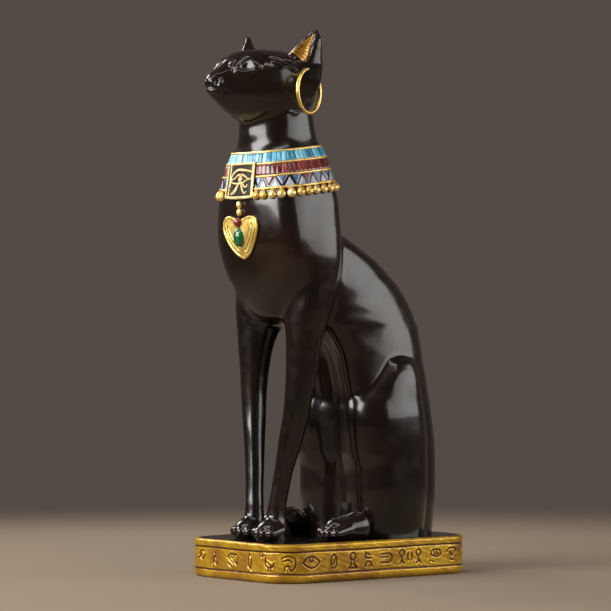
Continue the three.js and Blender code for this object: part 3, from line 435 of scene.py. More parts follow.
THIGH = [
    (102.2, 24.2, 21.6, 2.2, 4.4, 2.0),
    (100.6, 24.2, 21.8, 4.6, 7.2, 2.0),
    (97, 24.0, 21.8, 6.8, 9.8, 2.0),
    (92, 23.0, 21.2, 9.3, 12.6, 2.0),
    (87, 21.6, 20.4, 11.4, 15.0, 2.0),
    (81, 20.2, 19.6, 13.4, 17.4, 2.0),
    (74, 18.8, 19.6, 15.6, 19.5, 2.0),
    (65, 18.0, 20.4, 16.6, 20.2, 2.0),
    (52, 18.0, 20.7, 16.6, 20.2, 2.0),
    (40, 18.0, 20.6, 16.2, 20.0, 2.1),
    (31, 18.0, 20.5, 15.6, 19.4, 2.1),
    (22, 17.8, 20.4, 14.8, 18.6, 2.2),
    (18, 17.8, 20.3, 14.4, 18.2, 2.2),
    (10, 17.8, 20.3, 14.0, 17.8, 2.2),
]
LEG_TURN = math.radians(40)
LEG = [
    (176, 17.0, -27.5, 5.0, 5.0, 2.0),
    (168, 18.8, -26.6, 9.0, 8.6, 2.0),
    (158, 19.6, -25.6, 11.4, 10.6, 2.0),
    (148, 19.8, -25.2, 12.2, 11.2, 2.0),
    (135, 19.3, -25.6, 12.2, 11.2, 2.0),
    (126, 18.8, -27.0, 11.6, 10.6, 2.0),
    (119, 18.0, -28.1, 10.8, 9.9, 2.0),
    (115, 17.8, -28.8, 10.0, 9.2, 2.0),
    (106, 18.0, -30.2, 8.2, 7.9, 2.0),
    (96, 17.8, -31.0, 6.9, 7.3, 2.0),
    (87, 17.2, -31.8, 6.2, 6.7, 2.0),
    (77, 16.0, -32.6, 5.7, 6.2, 2.0),
    (68, 14.4, -33.7, 5.2, 5.9, 2.0),
    (58, 12.6, -35.0, 4.75, 5.1, 2.0),
    (49, 10.8, -36.3, 4.4, 4.4, 2.0),
    (39, 9.4, -37.5, 4.2, 4.2, 2.0),
    (33, 8.4, -38.2, 4.3, 4.3, 2.0),
    (26, 8.2, -38.6, 4.9, 5.0, 2.0),
    (18, 8.2, -39.0, 6.0, 6.0, 2.0),
    (10, 8.2, -39.0, 6.0, 6.0, 2.0),
]
print("stations:", len(CHEST), "chest,", len(BARREL), "back,", len(THIGH), "thigh,", len(LEG), "leg")

# %% [markdown]
# The head is long and narrow, so its sections stand upright and run from the tip of the nose to the back
# of the skull. The tall ears turn outward, each with a hollow in front. The tail is a chain of tapering
# bars that lies round the right haunch, and every paw is a rounded pad with four toes.

# %% Sections of head and ears
HEAD = [
    (-72.0, 229.8, 0.6, 0.6, 1.2, 2.0),
    (-71.2, 229.6, 2.4, 2.2, 4.2, 2.0),
    (-69.4, 229.5, 4.2, 3.8, 7.0, 2.1),
    (-66.8, 229.6, 5.9, 5.4, 9.6, 2.1),
    (-63.6, 229.8, 7.9, 7.9, 12.0, 2.1),
    (-60, 230.0, 11.0, 10.8, 14.4, 2.1),
    (-55, 231.3, 14.9, 12.1, 18.3, 2.1),
    (-49, 232.4, 18.6, 12.4, 21.8, 2.1),
    (-43, 232.8, 21.0, 12.4, 22.8, 2.15),
    (-37, 232.0, 22.0, 13.2, 22.0, 2.15),
    (-31, 230.4, 21.6, 14.4, 19.6, 2.1),
    (-26, 228.8, 19.6, 14.6, 17.0, 2.1),
    (-21, 227.2, 15.4, 12.8, 13.6, 2.05),
    (-17, 226.6, 10.6, 9.0, 10.0, 2.0),
    (-14, 226.0, 5.0, 4.6, 5.6, 2.0),
    (-13, 225.8, 1, 1, 1, 2.0),
]
EAR_TURN = math.radians(-45)
EAR = [
    (253.7, 25.7, -28.8, 0.5, 0.5, 2.0),
    (252.4, 25.1, -29.1, 1.7, 1.2, 2.0),
    (251, 24.8, -29.3, 2.7, 1.8, 2.0),
    (249.5, 24.3, -29.6, 3.9, 2.4, 2.4),
    (248, 23.6, -29.9, 4.8, 3.1, 2.7),
    (246.4, 22.7, -30.2, 5.8, 3.9, 2.9),
    (243.6, 20.9, -30.6, 7.2, 5.2, 3.0),
    (240, 19.2, -31.0, 8.7, 6.8, 2.8),
    (237, 18.2, -31.0, 9.6, 8.0, 2.4),
    (231, 17.4, -31.0, 9.4, 8.0, 2.0),
    (222, 16.0, -31.0, 7.0, 6.6, 2.0),
]
HOLLOW = [
    (251.4, 25.9, -30.8, 0.8, 0.9, 2.0),
    (248.5, 25.7, -32.7, 2.4, 1.9, 2.0),
    (244.5, 24.4, -35.2, 3.8, 3.2, 2.0),
    (241, 23.6, -36.7, 4.4, 4.0, 2.2),
    (238.9, 23.4, -37.2, 3.4, 3.8, 2.2),
]
TAIL = [
    (-2, 50, 28, 5.0),
    (-14, 48.5, 24, 4.6),
    (-24.5, 42, 21.6, 4.4),
    (-32, 34, 21.6, 3.9),
    (-34.6, 18, 21.5, 3.6),
    (-34.6, 0, 21.4, 3.4),
    (-33.4, -12, 21.4, 3.2),
]
FRONT_PAD = ((8.2, -40.5, 21.0), (7.0, 9.0, 7.2))
FRONT_TOES = ((2.9, -46.0), (6.5, -47.6), (10.2, -47.4), (13.6, -45.4))
FRONT_KNUCKLES = (0.75, 2.2, -39.5, 22.5)
FRONT_TOE_SIZES = (21.3, 3.0, 2.55)
HIND_PAD = ((24.6, -4.4, 23.4), (24.4, -15.5, 22.4), 7.4, 5.9)
HIND_TOES = ((19.4, -20.4), (22.8, -21.8), (26.4, -21.6), (29.6, -19.8))
HIND_KNUCKLES = (0.8, 5.0, -12.5, 22.6)
HIND_TOE_SIZES = (21.2, 3.2, 2.5)
JAW_PLANE = (0.505, -0.513, -0.694, 116.8)
EYEBALL = ((10.4, -53.8, 236.4), (5.4, 3.7, 4.0))
print("head stations:", len(HEAD), "ear stations:", len(EAR))

# %% [markdown]
# Fine carving is drawn as strokes on the form: a stroke is a smooth path near the skin, and the skin
# rises or sinks along it. Eyelids, the brow, the nose, the mouth and the crease from temple to ear are
# made this way, because one rule gives them all and keeps them part of the same casting.

# %% Strokes that raise or sink the skin
STROKE_POINTS = 14
STROKE_REACH = 2.6


def gap_to_path(path, x, y, z):
    """Distance from points to a path, and the share of the way along it where they are nearest."""
    best = np.full(x.shape, FAR)
    share = np.zeros(x.shape)
    count = len(path) - 1
    for i in range(count):
        run = path[i + 1] - path[i]
        gap, t = near_line(x, y, z, path[i], run, run @ run)
        near = gap < best
        best = np.where(near, gap, best)
        share = np.where(near, (i + t) / count, share)
    return best, share


def stroke(points, width, height, fades):
    """A raised line, or a sunk one if height is negative. It fades over a share of its length at each end."""
    return {"path": smooth_path(points, STROKE_POINTS), "width": width, "height": height, "fades": fades}


def fade(share, start, end):
    """0 at both ends, rising to 1 within a share of the way from each."""
    up = np.clip(share / max(start, EPS), 0, 1) if start else 1.0
    down = np.clip((1 - share) / max(end, EPS), 0, 1) if end else 1.0
    return np.sqrt(up * down)


def draw_strokes(d, strokes, s, y, z):
    """Applies strokes to a field's values at points near them."""
    for one in strokes:
        reach = STROKE_REACH * one["width"]
        low = one["path"].min(0) - reach
        high = one["path"].max(0) + reach
        near = np.logical_and.reduce([(a > low[c]) & (a < high[c]) for c, a in enumerate((s, y, z))])
        if not near.any():
            continue
        gap, share = gap_to_path(one["path"], s[near], y[near], z[near])
        rise = one["height"] * np.exp(-((gap / one["width"]) ** 2)) * fade(share, *one["fades"])
        d[near] -= rise
    return d


test_gap, test_share = gap_to_path(np.eye(3), np.array([0.5]), np.array([0.5]), np.array([0.0]))
print("a point on a test path, its distance and share of the way:", test_gap[0], test_share[0])

# %% [markdown]
# Now the whole cat as one field. Limbs are only worked out where they can matter, which keeps it quick.

# %% The cat's field
head = lengthwise(HEAD)
chest = upright(CHEST)
barrel = upright(BARREL)
flank = upright(FLANK)
thigh = upright(THIGH)
leg = upright(LEG, LEG_TURN)
ear = upright(EAR, EAR_TURN)
hollow = upright(HOLLOW, EAR_TURN)

OPEN_SPACE = 1e3
TOE_MELT, FRONT_PAW_MELT, HIND_PAW_MELT, TAIL_MELT = 0.5, 1.6, 1.4, 2.0
BACK_MELT, LEG_MELT, HEAD_MELT = 5.0, 5.0, 1.6
HAUNCH_MELT, HAUNCH_EXTRA = 1.6, 8.4
FLANK_MELT, FLANK_EXTRA = 4.0, 9.0
JAW_MELT, EYE_MELT, EAR_MELT, HOLLOW_EDGE = 3.0, 1.5, 2.0, 0.6
TRUNK_TOP, LEG_TOP, FLANK_TOP, THIGH_TOP, FOOT_TOP = 225, 182, 132, 108, 45
HEAD_BASE = 195
HAUNCH_BACK, HAUNCH_TOP, BELLY_SIDE = (-20, -8), (-90, -78), (-16, -6)


def add_toes(d, s, y, z, tips, knuckles, sizes):
    """Joins the toes to a paw. They run from the knuckles, which stand closer together, to their tips."""
    share, shift, knuckle_y, knuckle_height = knuckles
    tip_height, *radii = sizes
    for tip_x, tip_y in tips:
        knuckle = (tip_x * share + shift, knuckle_y, knuckle_height)
        d = join(d, bar(s, y, z, knuckle, (tip_x, tip_y, tip_height), *radii), TOE_MELT)
    return d


def front_paw(s, y, z):
    """A front paw: an egg-shaped pad with its toes."""
    return add_toes(ball(s, y, z, *FRONT_PAD), s, y, z, FRONT_TOES, FRONT_KNUCKLES, FRONT_TOE_SIZES)


def hind_paw(s, y, z):
    """A hind paw: a bar that tapers forward, with its toes."""
    return add_toes(bar(s, y, z, *HIND_PAD), s, y, z, HIND_TOES, HIND_KNUCKLES, HIND_TOE_SIZES)


def tail(x, y, z):
    """The tail as a chain of tapering bars."""
    d = np.full(x.shape, FAR)
    for start, end in zip(TAIL[:-1], TAIL[1:]):
        d = np.minimum(d, bar(x, y, z, start[:3], end[:3], start[3], end[3]))
    return d


def skull(s, y, z):
    """The head cut off by the slanting plane under the cheek, and the eyeball set into it."""
    a, b, c, e = JAW_PLANE
    d = -join(-head(s, y, z), -(a * s + b * y + c * z + e), JAW_MELT)
    return join(d, ball(s, y, z, *EYEBALL), EYE_MELT)


def head_top(s, y, z):
    """Skull and ears, with the ears hollowed in front."""
    return carve(join(skull(s, y, z), ear(s, y, z), EAR_MELT), hollow(s, y, z), HOLLOW_EDGE)


def melt(d, where, form, k, *at):
    """Joins a form to the values d, only at the places where it matters."""
    if where.any():
        k = np.broadcast_to(k, d.shape)
        d[where] = join(d[where], form(*(a[where] for a in at)), k[where])
    return d


def ramp_up(value, low, high):
    """Eased from 0 at low to 1 at high."""
    t = np.clip((value - low) / (high - low), 0, 1)
    return t * t * (3 - 2 * t)


def haunch_ease(y, z):
    """How softly the haunch melts into the body: crisp on top and behind, wide between the two haunches."""
    return HAUNCH_MELT + HAUNCH_EXTRA * ramp_up(-y, *HAUNCH_BACK) * ramp_up(-z, *HAUNCH_TOP)


def flank_ease(s):
    """How softly the flanks melt into the belly: widest towards the middle."""
    return FLANK_MELT + FLANK_EXTRA * ramp_up(-s, *BELLY_SIDE)


def plain_cat(x, y, z):
    """The cat without its fine strokes."""
    s = np.abs(x)
    d = np.full(x.shape, OPEN_SPACE)
    trunk = z < TRUNK_TOP
    at = x[trunk], y[trunk], z[trunk]
    d[trunk] = join(chest(*at), barrel(*at), BACK_MELT)
    d = melt(d, z < FLANK_TOP, flank, flank_ease(s), s, y, z)
    d = melt(d, z < LEG_TOP, leg, LEG_MELT, s, y, z)
    d = melt(d, z < FOOT_TOP, front_paw, FRONT_PAW_MELT, s, y, z)
    d = melt(d, z < THIGH_TOP, thigh, haunch_ease(y, z), s, y, z)
    d = melt(d, z < FOOT_TOP, hind_paw, HIND_PAW_MELT, s, y, z)
    d = melt(d, z < FOOT_TOP, tail, TAIL_MELT, x, y, z)
    return melt(d, z > HEAD_BASE, head_top, HEAD_MELT, s, y, z)


probe = np.array([0.0]), np.array([-30.0]), np.array([160.0])
print("depth of the skin over the middle of the chest, mm:", round(float(-plain_cat(*probe)[0]), 1))

# %% [markdown]
# The lines of the face were read off the photograph, as places in its picture, and the script finds each
# place on the head: it goes in from the camera along the line of sight, each time a little less far than
# the field says is free, until it meets the skin. Points on the middle line of the face and those of the
# soft whisker pad are written out. Width, height and the shares over which a line fades in and out follow
# each run of places.

# %% Lines of the face
PICTURE_FOCUS = 3175.5
PICTURE_MIDDLE = (329.5, 315.2)
CAREFUL_STEP = 0.6
HEAD_REACH = 90.0
view_right = np.array([math.cos(CAMERA_TURN), math.sin(CAMERA_TURN), 0.0])
view_back = np.array([math.sin(CAMERA_TURN), -math.cos(CAMERA_TURN), 0.0])
view_up = np.array([0, 0, 1.0])
FACE_LINES = {
    "upper lid": (
        [(235, 69), (237.5, 63.5), (242, 58.8), (247.5, 56.2), (253.5, 56.3), (259, 58.0), (262.5, 60.5)],
        0.85, 1.05, (0.05, 0.2),
    ),
    "lower lid": (
        [(235, 69), (239, 71.6), (245, 72.6), (251, 71.5), (257, 68.4), (262, 63.5)], 0.95, 1.2, (0.05, 0.2),
    ),
    "eyeball": ([(241.5, 67.5), (244, 64.2), (247, 61.6), (251, 60.0), (254.5, 60.0)], 1.05, 0.9, (0.2, 0.3)),
    "inner brow": ([(229, 66.3), (231.5, 63.2), (235, 60), (239.5, 56.7)], 0.85, 0.95, (0.3, 0.35)),
    "side of the nose": ([(214, 74.5), (221, 73.2), (227, 71), (231, 69.3)], 0.8, 0.6, (0.2, 0.2)),
    "temple ridge": ([(271, 60.2), (281, 64.4), (290, 68), (297, 71.2)], 0.8, 0.9, (0.2, 0.1)),
    "outer brow": ([(262, 54.5), (274, 56.2), (284, 58.5), (292, 62)], 1.1, 0.5, (0.3, 0.3)),
    "temple crease": ([(268, 57.5), (278, 60), (288, 64), (296, 68.5)], 1.0, -0.5, (0.3, 0.2)),
    "front of the nose": ([(210.5, 79.5), (212, 83), (214, 87)], 0.75, 0.6, (0.2, 0.3)),
    "wing of the nose": ([(220, 78), (221, 81), (219.5, 83.5)], 0.75, 0.6, (0.3, 0.3)),
    "nostril": ([(216, 79.5), (216.8, 82.5), (216, 85.5)], 0.65, -0.8, (0.2, 0.2)),
    "mouth": ([(213, 87.5), (219, 88.4), (225, 90.5), (231, 93.5)], 0.55, -0.9, (0.0, 0.35)),
    "lower lip": ([(213, 90.8), (217, 91.5), (221.5, 92.5)], 0.8, 0.65, (0.0, 0.3)),
    "cleft of the lip": ([], 0.4, -0.5, (0.0, 0.1)),
    "whisker pad": ([], 1.4, 0.4, (0.1, 0.4)),
}
KNOWN_POINTS = {
    "mouth": [(0.0, -71.5, 226.9), (1.4, -71.0, 226.5)],
    "lower lip": [(0.0, -70.7, 224.5)],
    "cleft of the lip": [(0.0, -71.9, 229.4), (0.0, -71.6, 227.0)],
    "whisker pad": [(4.6, -69.0, 227.6), (5.8, -67.2, 226.9), (6.6, -65.2, 226.0)],
}


def move_in(field, start, toward, rounds, back_step, far_step):
    """Where points that move from start along toward meet a field's skin."""
    t = np.zeros(len(start))
    for _ in range(rounds):
        t = t + np.clip(field(*(start + toward * t[:, None]).T) * CAREFUL_STEP, -back_step, far_step)
    return start + toward * t[:, None]


def on_the_head(places):
    """Where places of the picture lie on the plain cat, to a tenth of a millimetre."""
    across = np.array(places)[:, :1] - PICTURE_MIDDLE[0]
    up = PICTURE_MIDDLE[1] - np.array(places)[:, 1:]
    toward = unit(-view_back * PICTURE_FOCUS + view_right * across + view_up * up)
    eye = (view_back * CAMERA_DISTANCE + view_up * CAMERA_HEIGHT) / MM
    start = eye + toward * (CAMERA_DISTANCE / MM - HEAD_REACH)
    return np.round(move_in(plain_cat, start, toward, rounds=160, back_step=2, far_step=3), 1)


found = iter(on_the_head([place for line in FACE_LINES.values() for place in line[0]]).tolist())
FACE_STROKES = [
    stroke(KNOWN_POINTS.get(label, []) + [tuple(next(found)) for _ in places], width, height, fades)
    for label, (places, width, height, fades) in FACE_LINES.items()
]


def carved_cat(x, y, z):
    """The cat with its fine strokes."""
    return draw_strokes(plain_cat(x, y, z), FACE_STROKES, np.abs(x), y, z)


print("lines on each side of the face:", len(FACE_STROKES))

# %% [markdown]
# A field has no mesh of its own. Surface nets give it one: space is cut into small cells, each cell that
# the skin crosses gets one point, and points of neighbouring cells are joined into four-sided faces.

# %% From field to cells and faces
REACH_SHARE, REACH_SPARE = 1.35, 1.0


def grid_lines(stops):
    """Places from one stop to the next. Each stop has its place and about the spacing on the way to it."""
    out = [stops[0][0]]
    for end, spacing in stops[1:]:
        count = max(1, round((end - out[-1]) / spacing))
        out += list(np.linspace(out[-1], end, count + 1)[1:])
    return np.array(out)


def sample(field, axes, block=8):
    """The field on a grid. Only blocks near the skin are worked out point by point."""
    starts = [np.arange(0, len(a), block) for a in axes]
    ends = [np.minimum(s + block, len(a) - 1) for s, a in zip(starts, axes)]
    middle = [(a[s] + a[e]) / 2 for a, s, e in zip(axes, starts, ends)]
    half = [(a[e] - a[s]) / 2 for a, s, e in zip(axes, starts, ends)]
    centre = np.meshgrid(*middle, indexing="ij")
    reach = np.sqrt(sum(h**2 for h in np.meshgrid(*half, indexing="ij")))
    coarse = field(*(c.ravel() for c in centre)).reshape(centre[0].shape)
    near = np.abs(coarse) < REACH_SHARE * reach + REACH_SPARE
    for axis in range(3):
        coarse = np.repeat(coarse, block, axis)
        near = np.repeat(near, block, axis)
    keep = tuple(slice(0, len(a)) for a in axes)
    value = coarse[keep].copy()
    i, j, k = np.nonzero(near[keep])
    value[i, j, k] = field(axes[0][i], axes[1][j], axes[2][k])
    return value


def cell_points(value, axes):
    """One point in each cell that the skin crosses, and the number of each cell's point."""
    inside = value < 0
    n = value.shape
    crossed = np.zeros([m - 1 for m in n], bool)
    first = inside[:-1, :-1, :-1]
    for i in (0, 1):
        for j in (0, 1):
            for k in (0, 1):
                crossed |= inside[i:n[0] - 1 + i, j:n[1] - 1 + j, k:n[2] - 1 + k] != first
    at = np.argwhere(crossed)
    number = np.full(crossed.shape, -1, np.int64)
    number[tuple(at.T)] = np.arange(len(at))
    total = np.zeros((len(at), 3))
    count = np.zeros(len(at))
    for axis in range(3):
        others = [c for c in range(3) if c != axis]
        for a in (0, 1):
            for b in (0, 1):
                p = at.copy()
                p[:, others[0]] += a
                p[:, others[1]] += b
                q = p.copy()
                q[:, axis] += 1
                fp = value[tuple(p.T)]
                fq = value[tuple(q.T)]
                cut = (fp < 0) != (fq < 0)
                t = np.where(cut, fp / np.where(cut, fp - fq, 1), 0)
                for c in range(3):
                    start = axes[c][p[:, c]]
                    total[:, c] += np.where(cut, start + (axes[c][q[:, c]] - start) * t, 0)
                count += cut
    return total / count[:, None], number


def cell_faces(value, number):
    """A four-sided face for each grid edge that the skin crosses, turned to face out."""
    inside = value < 0
    faces = []
    for axis in range(3):
        first, second = [(1, 2), (2, 0), (0, 1)][axis]
        low = [slice(1, n - 1) for n in value.shape]
        low[axis] = slice(0, value.shape[axis] - 1)
        high = list(low)
        high[axis] = slice(1, value.shape[axis])
        a = inside[tuple(low)]
        edge = np.argwhere(a != inside[tuple(high)])
        base = edge.copy()
        for c in range(3):
            if c != axis:
                base[:, c] += 1
        e1 = np.eye(3, dtype=int)[first]
        e2 = np.eye(3, dtype=int)[second]
        around = [base - e1 - e2, base - e2, base, base - e1]
        face = np.stack([number[tuple(cell.T)] for cell in around], 1)
        outward = a[tuple(edge.T)]
        face[~outward] = face[~outward][:, ::-1]
        faces.append(face)
    return np.vstack(faces)


test_places = grid_lines([(0, 0), (2, 1), (3, 0.25)])
print("places on a test grid:", test_places.tolist())

# %% [markdown]
# The points of the cells lie only near the skin. The field's slope says which way the skin is and how
# fast the field changes towards it, so a few short slides along the slope bring every point onto it. That
# is what makes the gloss run smoothly.

# %% Sliding the points onto the skin
SLOPE_STEP = 0.05
LEAST_STEEP = 0.2
LONGEST_SLIDE = 0.45


def slope_of(field, points):
    """The field's slope at points, by differences."""
    out = np.zeros_like(points)
    for c in range(3):
        ahead = points.copy()
        behind = points.copy()
        ahead[:, c] += SLOPE_STEP
        behind[:, c] -= SLOPE_STEP
        out[:, c] = (field(*ahead.T) - field(*behind.T)) / (2 * SLOPE_STEP)
    return out


def skin(field, axes, rounds=2):
    """The field's skin as points and four-sided faces."""
    value = sample(field, axes)
    points, number = cell_points(value, axes)
    faces = cell_faces(value, number)
    reach = LONGEST_SLIDE * min(np.diff(a).min() for a in axes)
    for _ in range(rounds):
        slope = slope_of(field, points)
        steep = np.maximum((slope**2).sum(1), LEAST_STEEP)
        move = field(*points.T) / steep
        size = np.linalg.norm(slope, axis=1) * np.abs(move)
        move *= np.minimum(1, reach / np.maximum(size, EPS))
        points = points - slope * move[:, None]
    return points, faces


test_axes = [np.linspace(-6, 6, 25)] * 3
test_points, test_faces = skin(lambda x, y, z: ball(x, y, z, (0, 0, 0), (5, 5, 5)), test_axes)
print("a test ball:", len(test_points), "points,", len(test_faces), "faces")

# %% [markdown]
# Paint and lacquer are never one flat colour. A few effects are shared by several finishes, so each is a
# shader group with its own named inputs: the faint waviness that a hand-lacquered casting has, and
# brushed-on paint that thins on the high spots and pools dark in the recesses.

# %% Shared shader groups


def new_group(name, inputs, outputs):
    """A shader node group with named sockets, its input node and its output node."""
    tree = bpy.data.node_groups.new(name, "ShaderNodeTree")
    for label, kind, value in inputs:
        socket = tree.interface.new_socket(label, in_out="INPUT", socket_type=kind)
        if value is not None:
            socket.default_value = value
    for label, kind in outputs:
        tree.interface.new_socket(label, in_out="OUTPUT", socket_type=kind)
    return tree, tree.nodes.new("NodeGroupInput"), tree.nodes.new("NodeGroupOutput")


def math_node(tree, operation, a, b):
    """A sum worked out by the shader. Each side may be a number or a socket."""
    node = tree.nodes.new("ShaderNodeMath")
    node.operation = operation
    for socket, value in zip(node.inputs, (a, b)):
        if isinstance(value, (int, float)):
            socket.default_value = value
        else:
            tree.links.new(value, socket)
    return node.outputs["Value"]


def make_waviness():
    """Bumps of a hand-lacquered casting: slow waves and a finer orange peel."""
    tree, source, sink = new_group(
        "lacquer_waviness",
        [
            ("Wave Scale", "NodeSocketFloat", 60.0),
            ("Wave Height", "NodeSocketFloat", 0.15),
            ("Peel Scale", "NodeSocketFloat", 700.0),
            ("Peel Height", "NodeSocketFloat", 0.05),
        ],
        [("Normal", "NodeSocketVector"), ("Waves", "NodeSocketFloat")],
    )
    place = tree.nodes.new("ShaderNodeTexCoord").outputs["Object"]
    waves = noise_node(tree, place, source.outputs["Wave Scale"], 2.0)
    peel = noise_node(tree, place, source.outputs["Peel Scale"], 2.0)
    high = math_node(tree, "MULTIPLY", waves.outputs["Fac"], source.outputs["Wave Height"])
    fine = math_node(tree, "MULTIPLY", peel.outputs["Fac"], source.outputs["Peel Height"])
    bump = tree.nodes.new("ShaderNodeBump")
    bump.inputs["Distance"].default_value = MM
    bump.inputs["Strength"].default_value = 1.0
    tree.links.new(math_node(tree, "ADD", high, fine), bump.inputs["Height"])
    tree.links.new(bump.outputs["Normal"], sink.inputs["Normal"])
    tree.links.new(waves.outputs["Fac"], sink.inputs["Waves"])
    return tree


def make_brushed_paint():
    """Brushed paint: two tones in soft patches, a dark wash where recess is high, and fine specks."""
    tree, source, sink = new_group(
        "brushed_paint",
        [
            ("Light", "NodeSocketColor", (1, 1, 1, 1)),
            ("Deep", "NodeSocketColor", (0.5, 0.5, 0.5, 1)),
            ("Wash", "NodeSocketColor", (0.02, 0.01, 0.01, 1)),
            ("Recess", "NodeSocketFloat", 0.0),
            ("Patch Scale", "NodeSocketFloat", 150.0),
            ("Speck Scale", "NodeSocketFloat", 900.0),
        ],
        [("Colour", "NodeSocketColor"), ("Roughness", "NodeSocketFloat"), ("Normal", "NodeSocketVector")],
    )
    place = tree.nodes.new("ShaderNodeTexCoord").outputs["Object"]
    patches = noise_node(tree, place, source.outputs["Patch Scale"], detail=4.0, roughness=0.6)
    specks = noise_node(tree, place, source.outputs["Speck Scale"], detail=3.0, roughness=0.65)
    patch = range_node(tree, patches.outputs["Fac"], low=0.35, high=0.65)
    base = mix_node(tree, patch, source.outputs["Light"], source.outputs["Deep"])
    ragged = math_node(tree, "MULTIPLY", specks.outputs["Fac"], 0.5)
    wet = math_node(tree, "ADD", source.outputs["Recess"], math_node(tree, "SUBTRACT", ragged, 0.25))
    washed = range_node(tree, wet, low=0.30, high=0.62)
    speck = range_node(tree, specks.outputs["Fac"], low=0.66, high=0.74, to_high=0.55)
    dirty = math_node(tree, "MAXIMUM", washed, speck)
    tree.links.new(mix_node(tree, dirty, base, source.outputs["Wash"]), sink.inputs["Colour"])
    dull = range_node(tree, specks.outputs["Fac"], low=0.3, high=0.75, to_low=0.30, to_high=0.52)
    tree.links.new(dull, sink.inputs["Roughness"])
    bump = tree.nodes.new("ShaderNodeBump")
    bump.inputs["Distance"].default_value = 0.12 * MM
    bump.inputs["Strength"].default_value = 0.6
    tree.links.new(specks.outputs["Fac"], bump.inputs["Height"])
    tree.links.new(bump.outputs["Normal"], sink.inputs["Normal"])
    return tree


WAVINESS = make_waviness()
BRUSHED = make_brushed_paint()
print("shader groups:", [g.name for g in bpy.data.node_groups])

# %% [markdown]
# The black is a deep lacquer over dark brown resin. Its own colour is almost nothing, a warm near-black
# that turns browner where the coat is thin, and what the eye reads is the reflection: a soft one from the
# resin's skin and a crisp one from the clear coat over it.

# %% Black lacquer
BLACK = (0.0040, 0.0022, 0.0014, 1)
BROWN = (0.011, 0.0045, 0.0022, 1)


def group_node(tree, group, **values):
    """A shader group placed in a material, with values for its inputs."""
    node = tree.nodes.new("ShaderNodeGroup")
    node.node_tree = group
    for name, value in values.items():
        socket = node.inputs[name.replace("_", " ")]
        if isinstance(value, bpy.types.NodeSocket):
            tree.links.new(value, socket)
        else:
            socket.default_value = value
    return node


def make_black_lacquer():
    """Near-black lacquer, browner in soft clouds, under a thin clear coat."""
    material, tree, shader = principled("black_lacquer")
    place = tree.nodes.new("ShaderNodeTexCoord").outputs["Object"]
    clouds = noise_node(tree, place, 22.0, detail=3.0)
    smears = noise_node(tree, place, 160.0, detail=4.0, roughness=0.6)
    warm = range_node(tree, clouds.outputs["Fac"], low=0.42, high=0.66)
    tree.links.new(mix_node(tree, warm, BLACK, BROWN), shader.inputs["Base Color"])
    gloss = range_node(tree, smears.outputs["Fac"], low=0.3, high=0.7, to_low=0.17, to_high=0.26)
    tree.links.new(gloss, shader.inputs["Roughness"])
    waves = {"Wave_Scale": 55.0, "Wave_Height": 0.10, "Peel_Scale": 900.0, "Peel_Height": 0.004}
    waviness = group_node(tree, WAVINESS, **waves)
    tree.links.new(waviness.outputs["Normal"], shader.inputs["Normal"])
    shader.inputs["Coat Weight"].default_value = 0.35
    shader.inputs["Coat Roughness"].default_value = 0.07
    shader.inputs["IOR"].default_value = 1.42
    return material


LACQUER = make_black_lacquer()
print("made", LACQUER.name)

# %% [markdown]
# Every piece goes through one small function: it makes the mesh, smooths its shading, lets it ride on the
# figure's one body and gives it its material.

# %% Adding a piece
BODY = "root"


def triangle_count(mesh):
    return sum(len(p.vertices) - 2 for p in mesh.polygons)


def add_piece(name, points, faces, material, slot="black_resin", values=None):
    """A mesh piece from points in millimetres. values are numbers carried by the points, by name."""
    mesh = bpy.data.meshes.new(name)
    faces = [list(f) for f in faces] if isinstance(faces, list) else faces.tolist()
    mesh.from_pydata((np.asarray(points, float) * SCALE * MM).tolist(), [], faces)
    mesh.update()
    for label, numbers in (values or {}).items():
        layer = mesh.attributes.new(label, "FLOAT", "POINT")
        layer.data.foreach_set("value", np.asarray(numbers, np.float32))
    mesh.shade_smooth()
    mesh.materials.append(material)
    piece = bpy.data.objects.new(name, mesh)
    bpy.context.scene.collection.objects.link(piece)
    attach(piece, BODY)
    print(f"{name}: {len(mesh.vertices)} points, {triangle_count(mesh)} triangles")
    return piece


# %% [markdown]
# The cat is skinned in two parts that meet under the collar, where no seam can show. The body takes cells
# of about a millimetre, finer at the paws, and the head takes cells a third as large, for lids, lips and
# nostrils.

# %% The cat's body and head
SEAM = 190.0
FOOT = 14.0
BODY_CELL = 1.15 if FINE else 2.0
PAW_CELL = 0.62 if FINE else 1.2
HEAD_CELL = 0.40 if FINE else 1.0


def body_part(x, y, z):
    return np.maximum(carved_cat(x, y, z), np.maximum(z - SEAM, FOOT - z))


def head_part(x, y, z):
    return np.maximum(carved_cat(x, y, z), SEAM - 2 - z)


body_axes = [
    grid_lines([(-41, 0), (-31, BODY_CELL), (31, (BODY_CELL + PAW_CELL) / 2), (41, BODY_CELL)]),
    grid_lines([(-60, 0), (-8, (BODY_CELL + PAW_CELL) / 2), (62, BODY_CELL)]),
    grid_lines([(FOOT - 3, 0), (34, PAW_CELL), (SEAM + 3, BODY_CELL)]),
]
head_axes = [
    grid_lines([(-31, 0), (31, HEAD_CELL)]),
    grid_lines([(-76, 0), (-44, HEAD_CELL), (-8, HEAD_CELL * 1.5)]),
    grid_lines([(SEAM - 5, 0), (212, HEAD_CELL * 2.2), (257, HEAD_CELL)]),
]
cat_body = add_piece("cat_body", *skin(body_part, body_axes), LACQUER)
cat_head = add_piece("cat_head", *skin(head_part, head_axes), LACQUER)
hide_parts("cat_on_plinth")
print("the head reaches", round(max(v.co.z for v in cat_head.data.vertices) / MM, 2), "mm")

# %% [markdown]
# The ornament is laid on the skin, so every piece of it has to find the skin first. From a point inside
# the neck or chest a ray runs outward, and halving the stretch again and again finds where it leaves the
# body.

# %% Finding the skin from inside
NECK_Y = -31.0
COLLAR_TILT = 0.12


